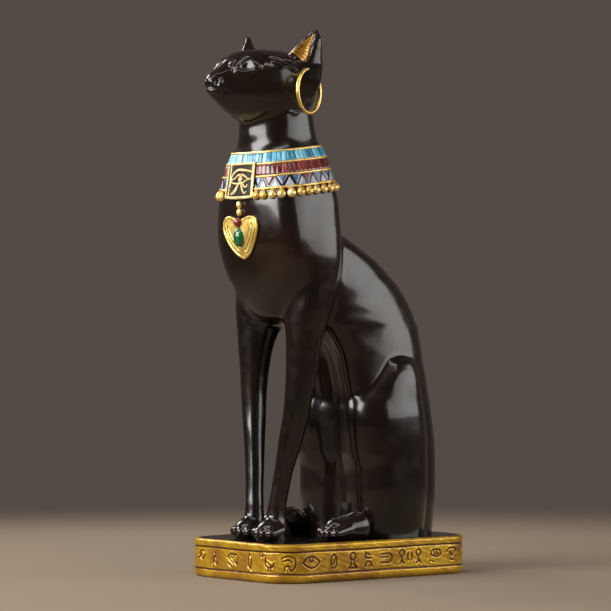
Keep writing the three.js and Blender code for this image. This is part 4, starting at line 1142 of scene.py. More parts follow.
def reach_skin(start, toward, far=46.0, rounds=24):
    """Where rays from inner points leave the body."""
    near = np.zeros(len(start))
    end = np.full(len(start), far)
    for _ in range(rounds):
        middle = (near + end) / 2
        inside = plain_cat(*(start + toward * middle[:, None]).T) < 0
        near = np.where(inside, middle, near)
        end = np.where(inside, end, middle)
    return start + toward * ((near + end) / 2)[:, None]


def collar_skin(angles, heights):
    """Skin points and outward directions round the neck, where tilted rings cross its axis at the heights."""
    angles, heights = np.broadcast_arrays(angles, heights)
    tilted = [np.cos(angles), np.sin(angles), COLLAR_TILT * np.sin(angles)]
    toward = np.stack(tilted, -1).reshape(-1, 3)
    start = np.stack([0 * heights, 0 * heights + NECK_Y, heights], -1).reshape(-1, 3)
    points = reach_skin(start, toward)
    normals = unit(slope_of(plain_cat, points))
    return points.reshape(*angles.shape, 3), normals.reshape(*angles.shape, 3)


def wobble(t, seed, waves=(3, 7, 13, 29)):
    """A small unevenness of handwork round a full turn, about -1 to 1 and the same at every run."""
    phases = np.random.default_rng(seed).uniform(0, 2 * math.pi, len(waves))
    return sum(np.sin(w * t + p) / (i + 1) for i, (w, p) in enumerate(zip(waves, phases))) / 2


def grid_faces(rows, columns, close_rows=False, close_columns=False):
    """Four-sided faces of a grid of points, closed on itself either way."""
    r = np.arange(rows if close_rows else rows - 1)
    c = np.arange(columns if close_columns else columns - 1)
    r, c = np.meshgrid(r, c, indexing="ij")
    r2, c2 = (r + 1) % rows, (c + 1) % columns
    corners = [r * columns + c, r2 * columns + c, r2 * columns + c2, r * columns + c2]
    return np.stack(corners, -1).reshape(-1, 4)


def facing_out(points, faces):
    """The faces of a closed mesh, turned round if they face in."""
    p = np.asarray(points, float)
    a, b, c, d = (p[faces[:, k]] for k in range(4))
    volume = np.einsum("ij,ij->i", a, np.cross(b, c) + np.cross(c, d)).sum()
    return faces if volume > 0 else faces[:, ::-1]


def sheet_shell(rows, columns):
    """Faces of a closed body made of a sheet, its back and the border between them."""
    sheet = grid_faces(rows, columns)
    count = rows * columns
    at = np.arange(count).reshape(rows, columns)
    loop = np.concatenate([at[0, :-1], at[:-1, -1], at[-1, :0:-1], at[:0:-1, 0]])
    after = np.roll(loop, -1)
    border = np.stack([after, loop, loop + count, after + count], -1)
    return np.vstack([sheet, sheet[:, ::-1] + count, border])


def with_closed_ends(points, rows, columns, middles):
    """Points and faces of rings of points, with the first and the last ring closed round a middle point."""
    faces = grid_faces(rows, columns, False, True)
    first = len(points)
    last = (rows - 1) * columns
    points = np.vstack([points, middles])
    ring = np.arange(columns)
    after = np.roll(ring, -1)
    start_cap = np.stack([np.full(columns, first), after, ring], 1)
    end_cap = np.stack([np.full(columns, first + 1), ring + last, after + last], 1)
    parts = [faces, start_cap, end_cap]
    if facing_out(points, faces) is not faces:
        parts = [part[:, ::-1] for part in parts]
    return points, [face for part in parts for face in part.tolist()]


test_point = collar_skin(np.array([-math.pi / 2]), np.array([184.0]))[0]
print("the chest's front behind the plaque:", test_point.round(2).tolist())

# %% [markdown]
# Gold paint on the figure is bright on the high spots, with a dark wash left in the joints. One helper
# makes all the golds: brushed paint whose recess value comes from the numbers that each mesh carries.

# %% Painted finishes
PAINT_COAT = 0.2
PAINT_COAT_ROUGHNESS = 0.12


def attribute_node(tree, label):
    """The numbers that a mesh's points carry under a name."""
    node = tree.nodes.new("ShaderNodeAttribute")
    node.attribute_name = label
    return node.outputs["Fac"]


def brushed_finish(name, light, deep, wash, metallic, patch_scale=150.0):
    """A brushed paint with its wash in the recesses."""
    material, tree, shader = principled(name)
    recess = attribute_node(tree, "recess")
    tones = {"Light": light, "Deep": deep, "Wash": wash}
    paint = group_node(tree, BRUSHED, Recess=recess, Patch_Scale=patch_scale, **tones)
    for label, socket in (("Colour", "Base Color"), ("Roughness", "Roughness"), ("Normal", "Normal")):
        tree.links.new(paint.outputs[label], shader.inputs[socket])
    shader.inputs["Metallic"].default_value = metallic
    shader.inputs["Coat Weight"].default_value = PAINT_COAT
    shader.inputs["Coat Roughness"].default_value = PAINT_COAT_ROUGHNESS
    return material


PALE_GOLD = (0.92, 0.70, 0.30, 1)
DEEP_GOLD = (0.70, 0.44, 0.10, 1)
DARK_WASH = (0.020, 0.009, 0.004, 1)
COLLAR_GOLD = brushed_finish("collar_gold", PALE_GOLD, DEEP_GOLD, DARK_WASH, 0.75)
print("made", COLLAR_GOLD.name)

# %% [markdown]
# Between the gold lines run three painted bands. The upper two are rows of little upright bars, turquoise
# and then dark red, as strings of tube beads would look. The third is a row of triangles between zigzag
# lines. Each bar and triangle carries its own tone, so the glossy paint varies from one to the next as
# handwork does, and it is darker where it pools in the joints.

# %% Enamel finishes


def enamel(name, tones, wash, roughness=(0.16, 0.30)):
    """Glossy enamel. Each bar's tone picks a colour between the given ones, and the joints stay dark."""
    material, tree, shader = principled(name)
    place = tree.nodes.new("ShaderNodeTexCoord").outputs["Object"]
    ramp = tree.nodes.new("ShaderNodeValToRGB")
    ramp.color_ramp.elements[0].color = tones[0]
    ramp.color_ramp.elements[1].color = tones[-1]
    for i, tone in enumerate(tones[1:-1]):
        ramp.color_ramp.elements.new((i + 1) / (len(tones) - 1)).color = tone
    grain = noise_node(tree, place, 420.0, detail=3.0, roughness=0.6)
    drift = math_node(tree, "MULTIPLY", math_node(tree, "SUBTRACT", grain.outputs["Fac"], 0.5), 0.6)
    tree.links.new(math_node(tree, "ADD", attribute_node(tree, "tone"), drift), ramp.inputs["Fac"])
    pooled = range_node(tree, attribute_node(tree, "recess"), low=0.45, high=0.85)
    tree.links.new(mix_node(tree, pooled, ramp.outputs["Color"], wash), shader.inputs["Base Color"])
    tree.links.new(range_node(tree, grain.outputs["Fac"], 0.3, 0.7, *roughness), shader.inputs["Roughness"])
    waves = {"Wave_Scale": 500.0, "Wave_Height": 0.05, "Peel_Scale": 1500.0, "Peel_Height": 0.01}
    waviness = group_node(tree, WAVINESS, **waves)
    tree.links.new(waviness.outputs["Normal"], shader.inputs["Normal"])
    shader.inputs["Coat Weight"].default_value = 0.5
    shader.inputs["Coat Roughness"].default_value = 0.08
    return material


TURQUOISE = enamel(
    "turquoise_enamel",
    [(0.004, 0.04, 0.08, 1), (0.02, 0.20, 0.34, 1), (0.09, 0.44, 0.60, 1), (0.42, 0.72, 0.80, 1)],
    (0.002, 0.006, 0.012, 1),
)
DARK_RED = enamel(
    "dark_red_enamel",
    [(0.030, 0.004, 0.004, 1), (0.11, 0.010, 0.009, 1), (0.24, 0.035, 0.030, 1)],
    (0.005, 0.001, 0.001, 1),
)
ZIGZAG = enamel(
    "zigzag_enamel",
    [(0.008, 0.006, 0.008, 1), (0.15, 0.012, 0.010, 1), (0.012, 0.06, 0.20, 1), (0.42, 0.43, 0.48, 1)],
    (0.003, 0.002, 0.003, 1),
)
print("enamels:", TURQUOISE.name, DARK_RED.name, ZIGZAG.name)

# %% [markdown]
# A gold line of the collar is a cord that follows the skin at one level of the tilted ring. Its section
# is a small circle turned with the skin, and a slight wobble keeps it from looking machined.

# %% Collar lines
CORD_LEVELS = (198.9, 193.7, 188.0, 182.4)
CORD_RADIUS = 0.66
CORD_STAND = 0.50
CORD_UNEVEN = 0.07
LEVEL_UNEVEN = 0.12
TURNS = 300 if FINE else 120
SECTION = 10


def ring_cord(level, seed):
    """A closed cord round the neck, as a grid of points."""
    t = np.linspace(0, 2 * math.pi, TURNS, endpoint=False)
    skin_points, outward = collar_skin(t, level + LEVEL_UNEVEN * wobble(t, seed))
    middle = skin_points + outward * CORD_STAND
    along = unit(np.roll(middle, -1, 0) - np.roll(middle, 1, 0))
    across = unit(np.cross(along, outward))
    radius = CORD_RADIUS * (1 + CORD_UNEVEN * wobble(t, seed + 1, (5, 11, 23, 41)))
    phi = np.linspace(0, 2 * math.pi, SECTION, endpoint=False)
    c, s = np.cos(phi)[None, :, None], np.sin(phi)[None, :, None]
    offset = outward[:, None] * c + across[:, None] * s
    points = middle[:, None] + offset * radius[:, None, None]
    recess = np.broadcast_to(np.clip(0.55 - np.cos(phi), 0, 1) * 0.9, points.shape[:2])
    return points.reshape(-1, 3), recess.ravel()


line_points, line_recess, line_faces = [], [], []
for number, level in enumerate(CORD_LEVELS):
    cord_points, cord_recess = ring_cord(level, 10 + number)
    cord_faces = facing_out(cord_points, grid_faces(TURNS, SECTION, True, True))
    line_faces.append(cord_faces + sum(len(p) for p in line_points))
    line_points.append(cord_points)
    line_recess.append(cord_recess)
line_values = {"recess": np.concatenate(line_recess)}
add_piece("collar_lines", np.vstack(line_points), np.vstack(line_faces), COLLAR_GOLD, values=line_values)

# %% [markdown]
# A band is one ring-shaped sheet with its relief in the mesh. Round the neck and down the band every
# point knows which bar or triangle it belongs to, and so how high it stands, how deep in a joint it lies
# and what tone it has.

# %% Collar bands
BARS = 64
ZIGZAGS = 27
BAND_STAND = 0.42
BAR_RISE = 0.42
BAR_TONES = (0.15, 1.0)
PAD_RISE = 0.30
PAD_SLOPE = 0.42
JOINT_HALF, JOINT_EASE = 0.07, 0.06
PALE_TONE, PALE_SPREAD = 0.86, 0.14
RED_TONE, BLUE_TONE, RED_SHARE = 0.34, 0.72, 0.45
BACK_SINK = -1.0


def bars_relief(t, v, seed):
    """Upright bars: how high the surface stands, how deep in a joint it is, and each bar's tone."""
    place = t / (2 * math.pi) * BARS
    u = 2 * (place % 1) - 1
    round_top = np.sqrt(np.clip(1 - u**2, 0, 1))
    tones = np.random.default_rng(seed).uniform(*BAR_TONES, BARS)
    return BAR_RISE * round_top**0.8, 1 - round_top, tones[place.astype(int) % BARS] + 0 * v


def zigzag_relief(t, v, seed):
    """Raised triangles with dark zigzag joints between them."""
    place = t / (2 * math.pi) * ZIGZAGS
    u = place % 1
    line = np.abs(2 * u - 1)
    gap = np.abs(v - line) * PAD_SLOPE
    pad = np.clip((gap - JOINT_HALF) / JOINT_EASE, 0, 1)
    pad = pad * pad * (3 - 2 * pad)
    number = place.astype(int) % ZIGZAGS
    choice = np.random.default_rng(seed).uniform(0, 1, ZIGZAGS)[number]
    coloured = np.where(choice < RED_SHARE, RED_TONE, BLUE_TONE)
    tone = np.where(v < line, PALE_TONE + PALE_SPREAD * choice, coloured)
    return PAD_RISE * pad, 1 - pad, tone


def collar_band(name, top, bottom, relief, steps, rows, seed, material):
    """A ring-shaped band between two levels whose surface carries a relief."""
    t = np.linspace(0, 2 * math.pi, steps, endpoint=False)[:, None]
    v = np.linspace(1, 0, rows)[None, :]
    height = bottom + (top - bottom) * v + LEVEL_UNEVEN * wobble(t, seed)
    base, outward = collar_skin(t + 0 * v, height)
    rise, recess, tone = relief(t + 0 * v, v + 0 * t, seed)
    front = base + outward * (BAND_STAND + rise)[..., None]
    back = base[:, [-1, 0]] + outward[:, [-1, 0]] * BACK_SINK
    points = np.concatenate([front, back], 1)
    edge = np.zeros((steps, 2))
    values = {"recess": np.concatenate([recess, edge + 1], 1), "tone": np.concatenate([tone, edge], 1)}
    faces = facing_out(points.reshape(-1, 3), grid_faces(steps, rows + 2, True, True))
    values = {label: numbers.ravel() for label, numbers in values.items()}
    add_piece(name, points.reshape(-1, 3), faces, material, values=values)


bars = {"relief": bars_relief, "steps": BARS * (10 if FINE else 5), "rows": 5}
triangles = {"relief": zigzag_relief, "steps": ZIGZAGS * (26 if FINE else 14), "rows": 14}
collar_band("turquoise_bars", *CORD_LEVELS[0:2], **bars, seed=3, material=TURQUOISE)
collar_band("dark_red_bars", *CORD_LEVELS[1:3], **bars, seed=4, material=DARK_RED)
collar_band("zigzag_band", *CORD_LEVELS[2:4], **triangles, seed=5, material=ZIGZAG)

# %% [markdown]
# The gold beads under the collar are cast drops: round below, drawn to a blunt point above where they
# hang from the lowest line. They are spaced by length along the skin, and none sits behind the plaque.

# %% Collar beads
BEAD_LEVEL = 179.4
BEAD_RADIUS = 2.05
BEAD_PITCH = 4.5
BEAD_STAND = 0.42
DROP_TOP = 2.9
DROP_DEPTH = 0.9
BEAD_UNEVEN = (1.0, 1.07)
PLAQUE_HALF = 10.0


def drop_shape(turns, rings):
    """A drop as a grid of points: round below, pointed above. Columns go round, rows go up."""
    up = np.linspace(-1, 1, rings)[:, None]
    z = np.where(up < 0, up * BEAD_RADIUS, up * DROP_TOP)
    full = np.sqrt(np.clip(1 - np.minimum(up, 0) ** 2, 0, 1))
    taper = np.clip(1 - np.maximum(up, 0) ** 1.5, 0, 1) ** 0.75
    r = BEAD_RADIUS * full * taper
    a = np.linspace(0, 2 * math.pi, turns, endpoint=False)[None, :]
    return np.stack([r * np.cos(a), r * np.sin(a) * DROP_DEPTH, z + 0 * a], -1)


def bead_places():
    """Evenly spaced places on the ring under the collar, with the skin's outward directions."""
    t = np.linspace(-math.pi / 2, 1.5 * math.pi, 721)
    ring, outward = collar_skin(t, BEAD_LEVEL + 0 * t)
    run = np.concatenate([[0], np.cumsum(np.linalg.norm(np.diff(ring, axis=0), axis=1))])
    count = round(run[-1] / BEAD_PITCH)
    for i in range(count):
        k = np.searchsorted(run, run[-1] * (i + 0.5) / count)
        behind_plaque = ring[k, 1] < NECK_Y and abs(ring[k, 0]) < PLAQUE_HALF + BEAD_RADIUS * 0.6
        if not behind_plaque:
            yield ring[k] + outward[k] * BEAD_STAND, outward[k]


bead_turns, bead_rings = (20, 15) if FINE else (12, 9)
shape = drop_shape(bead_turns, bead_rings)
bead_points, bead_faces, bead_recess = [], [], []
sizes = np.random.default_rng(6)
for place, outward in bead_places():
    side_way = unit(np.cross([0, 0, 1.0], outward))
    up_way = np.cross(outward, side_way)
    size = sizes.uniform(*BEAD_UNEVEN)
    turned = shape[..., :1] * side_way + shape[..., 1:2] * outward + shape[..., 2:] * up_way
    here = (place + turned * size).reshape(-1, 3)
    drop_faces = facing_out(here, grid_faces(bead_rings, bead_turns, False, True))
    bead_faces.append(drop_faces + sum(map(len, bead_points)))
    bead_points.append(here)
    bead_recess.append(np.clip(0.7 - shape[..., 1] / BEAD_RADIUS, 0, 1).ravel() * 0.6)
bead_values = {"recess": np.concatenate(bead_recess)}
add_piece("collar_beads", np.vstack(bead_points), np.vstack(bead_faces), COLLAR_GOLD, values=bead_values)
print("beads:", len(bead_points))

# %% [markdown]
# The plaque and the pendant are shallow reliefs that bend with the chest. Both are made as a drawing in
# height over the chest's own surface: each line or field of the drawing raises the surface around it.
# First the chest's front is measured once and fitted with a smooth polynomial, so that the reliefs bend
# without any ripple.

# %% The chest's front as a smooth surface
MEASURED = 13
ACROSS_TERMS, UP_TERMS = 4, 5
CHEST_STEP = 0.05
PEN_POINTS = 24


def chest_surface(half, low, high):
    """A function from x and z to the chest's front y, fitted to a few measured points."""
    x, z = np.meshgrid(
        np.linspace(-half, half, MEASURED), np.linspace(low, high, MEASURED), indexing="ij"
    )
    start = np.stack([x.ravel(), np.full(x.size, NECK_Y), z.ravel()], 1)
    y = reach_skin(start, np.tile([0.0, -1.0, 0.0], (x.size, 1)))[:, 1]
    middle = (low + high) / 2

    def powers(x, z):
        u, v = x / half, (z - middle) / (high - low)
        return np.stack([u ** (2 * i) * v**j for i in range(ACROSS_TERMS) for j in range(UP_TERMS)], -1)

    fit = np.linalg.lstsq(powers(x.ravel(), z.ravel()), y, rcond=None)[0]
    return lambda x, z: powers(x, z) @ fit


def lift(height, gap, top, edge):
    """Raises a drawing to a level inside a line or field. gap is negative inside, edge the slope's width."""
    t = np.clip(0.5 - gap / edge, 0, 1)
    t = t * t * (3 - 2 * t)
    return height + (top - height) * t


def pen(x, z, points, half_width):
    """Distance to a drawn line less its half width. The half width may run through several values."""
    path = smooth_path([(p[0], 0, p[1]) for p in points], PEN_POINTS)
    gap, share = gap_to_path(path, x, 0 * x, z)
    width = np.interp(share, np.linspace(0, 1, len(half_width)), half_width)
    return gap - width


def on_the_chest(front, x, z):
    """Points of the chest's front, and the directions out of it."""
    step = CHEST_STEP
    lean = (front(x, z + step) - front(x, z - step)) / (2 * step)
    turn = (front(x + step, z) - front(x - step, z)) / (2 * step)
    outward = unit(np.stack([turn, -1 + 0 * x, lean], -1))
    return np.stack([x, front(x, z), z], -1), outward


front = chest_surface(14.0, 170.0, 196.0)
print("fitted front at the plaque's middle, y:", round(float(front(np.array(0.0), np.array(184.0))), 2))

# %% [markdown]
# The plaque is a little gold frame with the common eye amulet in it, on a dark ground. The drawing below
# is made of a few pen strokes of changing width: brow, upper and lower lid, pupil, the drop below the eye
# and its curl.

# %% Plaque
PLAQUE_LOW, PLAQUE_HIGH = 175.8, 192.2
FRAME_TOP = 2.25
GROUND = 1.45
DRAWING_TOP = 2.1
EYE_LINES = [
    ([(-6.8, 181.2), (-6.6, 184.2), (-4.6, 187.4), (-1.0, 188.9), (3.0, 188.7), (8.0, 187.8)],
     (0.35, 0.55, 0.6, 0.5)),
    ([(-6.8, 184.0), (-3.6, 184.9), (-1.2, 186.4), (1.4, 186.6), (4.2, 185.6), (6.8, 184.0)],
     (0.35, 0.55, 0.4)),
    ([(-7.2, 183.6), (-4.0, 182.7), (-0.5, 182.4), (3.0, 183.0), (6.0, 184.2), (8.0, 184.6)],
     (0.35, 0.5, 0.35)),
    ([(-0.6, 182.6), (-1.6, 180.6), (-3.2, 178.8), (-5.4, 177.7)], (0.5, 0.75, 1.0, 0.35)),
    ([(1.2, 182.6), (2.0, 180.8), (3.0, 179.0), (4.4, 178.0), (5.6, 178.6)], (0.45, 0.5, 0.5, 0.35)),
    ([(2.6, 182.4), (4.4, 180.8), (5.6, 180.9), (6.0, 181.9)], (0.4, 0.4, 0.3)),
]
PUPIL = (0.6, 184.5)
PUPIL_RADIUS = 1.45
PUPIL_TOP = DRAWING_TOP + 0.25
FRAME_WIDTH, FRAME_SLOPE = 1.25, 0.45
INNER_LINE, INNER_HALF, INNER_SLOPE = 2.7, 0.32, 0.4
PEN_SLOPE, PUPIL_SLOPE = 0.42, 0.6
EDGE_DROP, EDGE_WIDTH = 0.5, 0.35
WASH_LEVEL = FRAME_TOP - 0.15
PLAQUE_TAPER = 0.35
PLAQUE_SAG = 0.45


def plaque_drawing(x, z, half, low, high):
    """Heights of the plaque's face, and how much each place is a recess."""
    edge = np.minimum(half - np.abs(x), np.minimum(z - low, high - z))
    height = lift(GROUND + 0 * x, edge - FRAME_WIDTH, FRAME_TOP, FRAME_SLOPE)
    height = lift(height, np.abs(x + half - INNER_LINE) - INNER_HALF, DRAWING_TOP, INNER_SLOPE)
    for points, widths in EYE_LINES:
        height = lift(height, pen(x, z, points, widths), DRAWING_TOP, PEN_SLOPE)
    pupil = np.hypot(x - PUPIL[0], z - PUPIL[1]) - PUPIL_RADIUS
    height = lift(height, pupil, PUPIL_TOP, PUPIL_SLOPE)
    height = height - EDGE_DROP * np.clip(1 - edge / EDGE_WIDTH, 0, 1) ** 2
    return height, np.clip((WASH_LEVEL - height) / (WASH_LEVEL - GROUND), 0, 1)


def plaque_piece():
    """The plaque as a closed sheet on the chest, a little wider below than above."""
    count = 150 if FINE else 60
    b, a = np.meshgrid(np.linspace(-1, 1, count), np.linspace(-1, 1, count), indexing="ij")
    half = PLAQUE_HALF - 0.1 - PLAQUE_TAPER * b
    x = a * half
    sag = PLAQUE_SAG * (1 - a**2)
    z = (PLAQUE_LOW + PLAQUE_HIGH) / 2 + b * (PLAQUE_HIGH - PLAQUE_LOW) / 2 - sag * (1 - b) / 2
    height, recess = plaque_drawing(x, z, half, PLAQUE_LOW - sag, PLAQUE_HIGH)
    base, outward = on_the_chest(front, x, z)
    face = base + outward * height[..., None]
    points = np.concatenate([face, base + outward * BACK_SINK], 0).reshape(-1, 3)
    values = {"recess": np.concatenate([recess, 0 * recess + 1], 0).ravel()}
    add_piece("plaque", points, facing_out(points, sheet_shell(count, count)), PLAQUE_FINISH, values=values)


PLAQUE_FINISH = brushed_finish(
    "plaque_gold", (0.84, 0.68, 0.36, 1), (0.60, 0.43, 0.16, 1), (0.030, 0.024, 0.020, 1), 0.6, 260.0
)
plaque_piece()

# %% [markdown]
# Under the plaque hangs a heart made of two wings folded round a red and a green stone. Its outline is a
# closed run of smooth curves, mirrored. Rows of feathers follow the outline inward, and short barbs cross
# the outer row.

# %% Pendant
PENDANT_LOW, PENDANT_HIGH = 147.8, 168.0
PENDANT_HALF = 13.0
PENDANT_STAND = 1.15
PENDANT_MIDDLE = 0.55
SWELL, SWELL_WIDTH = 0.12, 6
RIM_RISE, RIM_PLACE, RIM_WIDTH = 0.22, 0.75, 0.55
FEATHER_ROWS = ((1.75, 1.0), (3.6, 0.9), (5.4, 0.7))
FEATHER_WIDTH = 0.26
FEATHERS_FROM, FEATHERS_FADE_IN, FEATHERS_TO, FEATHERS_FADE_OUT = 2, 3, 27, 6
BARB_PITCH, BARB_SLANT, BARB_WIDTH, BARB_DEPTH = 0.62, 0.9, 0.16, 0.6
BARBS_FROM, BARBS_TO, BARBS_FADE = 1.9, 3.5, 0.3
GROOVE_DEPTH = 0.36
GROOVE_WASH = 0.8
ROUNDING_FROM, ROUNDING_WIDTH, ROUNDING_DROP = 0.93, 0.07, 0.55
HEART_SIDE = [
    (0.0, 0.0),
    (0.30, 0.075),
    (0.62, 0.25),
    (0.88, 0.50),
    (1.0, 0.72),
    (0.95, 0.89),
    (0.78, 0.985),
    (0.56, 1.0),
    (0.34, 0.965),
    (0.14, 0.925),
    (0.0, 0.912),
]


def heart_outline(count):
    """Points round the heart, from its tip up the left side of the cat and down the other."""
    one = smooth_path([(px, 0, pz) for px, pz in HEART_SIDE], count)[:, [0, 2]]
    tall = PENDANT_HIGH - PENDANT_LOW
    right = np.stack([one[:, 0] * PENDANT_HALF, PENDANT_LOW + one[:, 1] * tall], 1)
    left = right[-2:0:-1] * [-1, 1]
    return np.vstack([right, left])


def outline_gap(outline, x, z):
    """Distance from places inside to the outline, and how far along it the nearest place is."""
    path = np.vstack([outline, outline[:1]])
    path = np.stack([path[:, 0], 0 * path[:, 0], path[:, 1]], 1)
    return gap_to_path(path, x.ravel(), 0 * x.ravel(), z.ravel())


def wings_drawing(x, z, outline, length):
    """Heights of the pendant's face: a raised rim and rows of feathers that follow it."""
    gap, share = outline_gap(outline, x, z)
    gap, share = gap.reshape(x.shape), share.reshape(x.shape)
    run = np.minimum(share, 1 - share) * length
    height = PENDANT_STAND + SWELL * np.clip(gap / SWELL_WIDTH, 0, 1)
    height = height + RIM_RISE * np.exp(-((gap - RIM_PLACE) / RIM_WIDTH) ** 2)
    groove = np.zeros_like(x)
    lower = np.clip((run - FEATHERS_FROM) / FEATHERS_FADE_IN, 0, 1)
    lower = lower * np.clip((FEATHERS_TO - run) / FEATHERS_FADE_OUT, 0, 1)
    for depth, strength in FEATHER_ROWS:
        groove = np.maximum(groove, strength * lower * np.exp(-((gap - depth) / FEATHER_WIDTH) ** 2))
    phase = (run * BARB_PITCH + gap * BARB_SLANT) % 1
    barbs = np.exp(-((phase - 0.5) / BARB_WIDTH) ** 2) * np.clip((gap - BARBS_FROM) / BARBS_FADE, 0, 1)
    barbs = barbs * np.clip((BARBS_TO - gap) / BARBS_FADE, 0, 1)
    groove = np.maximum(groove, BARB_DEPTH * barbs * lower)
    return height - GROOVE_DEPTH * groove, np.clip(groove * GROOVE_WASH, 0, 1)


def heart_piece():
    """The pendant as one closed body: rings from its middle outward, and the same again sunk behind them."""
    outline = heart_outline(150 if FINE else 60)
    length = np.linalg.norm(np.roll(outline, -1, 0) - outline, axis=1).sum()
    inner = np.linspace(0.02, ROUNDING_FROM, 70 if FINE else 28)
    shares = np.concatenate([inner, [0.955, 0.975, 0.99, 1.0]])
    middle = np.array([0.0, PENDANT_LOW + (PENDANT_HIGH - PENDANT_LOW) * PENDANT_MIDDLE])
    grid = middle + shares[:, None, None] * (outline[None] - middle)
    x, z = grid[..., 0], grid[..., 1]
    height, recess = wings_drawing(x, z, outline, length)
    rounding = np.clip((shares - ROUNDING_FROM) / ROUNDING_WIDTH, 0, 1)[:, None]
    height = height - ROUNDING_DROP * rounding**2
    recess = np.maximum(recess, ROUNDING_DROP * rounding**2)
    base, outward = on_the_chest(lower_front, x, z)
    face = base + outward * height[..., None]
    back = base[::-1] + outward[::-1] * BACK_SINK
    rows, columns = x.shape
    points = np.concatenate([face, back], 0).reshape(-1, 3)
    middles = [points[:columns].mean(0), points[-columns:].mean(0)]
    points, faces = with_closed_ends(points, 2 * rows, columns, middles)
    values = {"recess": np.concatenate([recess.ravel(), np.ones(recess.size), [0, 1]])}
    add_piece("heart_pendant", points, faces, PENDANT_FINISH, values=values)


PENDANT_FINISH = brushed_finish(
    "pendant_gold", (0.88, 0.66, 0.20, 1), (0.66, 0.42, 0.07, 1), DARK_WASH, 0.7, 240.0
)
lower_front = chest_surface(16.0, 144.0, 172.0)
heart_piece()

# %% [markdown]
# The two stones and the two beads of the chain are small rounded bodies. The green one is the beetle
# amulet that such pendants carry, in its simplest form: an egg with one groove across and one down the
# middle.

# %% Stones and chain beads
EGG_GRID = (56, 40) if FINE else (24, 16)
STONE_STAND = 1.3
STONE_GLOSS = (0.08, 0.16)
STONE_TONE = 0.6
GROOVE_CUT, GROOVE_HALF, HEAD_LINE = 0.055, 0.06, 0.38
CROSS_HALF = 0.055
CHAIN_LEVELS = (173.0, 169.4)
CHAIN_BEAD = (3.4, 3.7, 3.0, 0.5)


def egg_grid(turns, rings):
    """Directions over a ball as a grid: rows go up, columns go round."""
    up = np.linspace(-math.pi / 2, math.pi / 2, rings)[:, None]
    a = np.linspace(0, 2 * math.pi, turns, endpoint=False)[None, :]
    return np.stack([np.cos(up) * np.cos(a), np.cos(up) * np.sin(a), np.sin(up) + 0 * a], -1)


def egg(name, z, width, height, depth, stand, material, groove=None):
    """A rounded body set into the chest in the middle plane."""
    turns, rings = EGG_GRID
    d = egg_grid(turns, rings)
    size = np.ones(d.shape[:2]) if groove is None else 1 - groove(d)
    half = np.array([width, depth, height]) / 2
    place = np.array([0.0, float(lower_front(np.array(0.0), np.array(z))) - stand, z])
    points = (place + d * half * size[..., None]).reshape(-1, 3)
    faces = facing_out(points, grid_faces(rings, turns, False, True))
    recess = np.clip((1 - size) * 9, 0, 1).ravel()
    add_piece(name, points, faces, material, values={"recess": recess, "tone": 0 * recess + STONE_TONE})


def beetle_groove(d):
    """One groove across under the head and one down between the wing cases, on the front only."""
    across = np.exp(-((d[..., 2] - HEAD_LINE) / CROSS_HALF) ** 2)
    down = np.exp(-((d[..., 0]) / GROOVE_HALF) ** 2) * (d[..., 2] < HEAD_LINE)
    return GROOVE_CUT * np.maximum(across, down) * (d[..., 1] < 0)


GREEN = enamel(
    "green_stone_enamel",
    [(0.004, 0.030, 0.012, 1), (0.006, 0.085, 0.030, 1), (0.012, 0.17, 0.06, 1)],
    (0.001, 0.008, 0.003, 1),
    STONE_GLOSS,
)
RED = enamel(
    "red_stone_enamel",
    [(0.06, 0.006, 0.004, 1), (0.14, 0.012, 0.008, 1), (0.26, 0.03, 0.02, 1)],
    (0.02, 0.002, 0.001, 1),
    STONE_GLOSS,
)
RED_LEVEL, RED_SIZE = 164.8, 4.6
GREEN_LEVEL, GREEN_WIDTH, GREEN_HEIGHT = 158.0, 6.6, 9.0
green_sizes = (GREEN_WIDTH, GREEN_HEIGHT, GREEN_WIDTH * 0.8)
egg("red_stone", RED_LEVEL, RED_SIZE, RED_SIZE, RED_SIZE, STONE_STAND, RED)
egg("green_stone", GREEN_LEVEL, *green_sizes, STONE_STAND, GREEN, beetle_groove)
for number, level in enumerate(CHAIN_LEVELS):
    egg(f"chain_bead_{number + 1}", level, *CHAIN_BEAD, COLLAR_GOLD)

# %% [markdown]
# The hoops are bent wire, brighter and smoother than the paint. They swing free in their holes on the
# real figure; here they hang still. A ring swept round a circle is all they need, with a trace of
# unevenness.

# %% Hoops
HOOP_OUTER = 22.0
HOOP_WIRE = 1.8
HOOP_TURN = 111.0
EAR_PIERCING = (25.0, -32.4, 235.2)
WIRE = brushed_finish(
    "hoop_wire", (0.90, 0.68, 0.22, 1), (0.70, 0.46, 0.10, 1), (0.30, 0.15, 0.03, 1), 1.0, 300.0
)


def hoop(side, name, node):
    """One wire ring, where the working model has it."""
    radius = (HOOP_OUTER - HOOP_WIRE) / 2
    turns, section = (160, 18) if FINE else (72, 10)
    t = np.linspace(0, 2 * math.pi, turns, endpoint=False)[:, None]
    p = np.linspace(0, 2 * math.pi, section, endpoint=False)[None, :]
    wire = HOOP_WIRE / 2 * (1 - 0.05 * (1 + wobble(t, 30 + side, (2, 5, 9, 14))))
    out = radius + wire * np.cos(p)
    lift_off = wire * np.sin(p)
    turn = side * math.radians(HOOP_TURN)
    flat_x, flat_z = out * np.cos(t), out * np.sin(t)
    points = np.stack(
        [
            side * EAR_PIERCING[0] + flat_x * math.cos(turn) - lift_off * math.sin(turn),
            EAR_PIERCING[1] + flat_x * math.sin(turn) + lift_off * math.cos(turn),
            EAR_PIERCING[2] - radius + flat_z,
        ],
        -1,
    ).reshape(-1, 3)
    faces = facing_out(points, grid_faces(turns, section, True, True))
    ring = add_piece(name, points, faces, WIRE, "gold_wire", {"recess": 0 * points[:, 0]})
    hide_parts(node)


hoop(1, "hoop_left", "earring_left")
hoop(-1, "hoop_right", "earring_right")

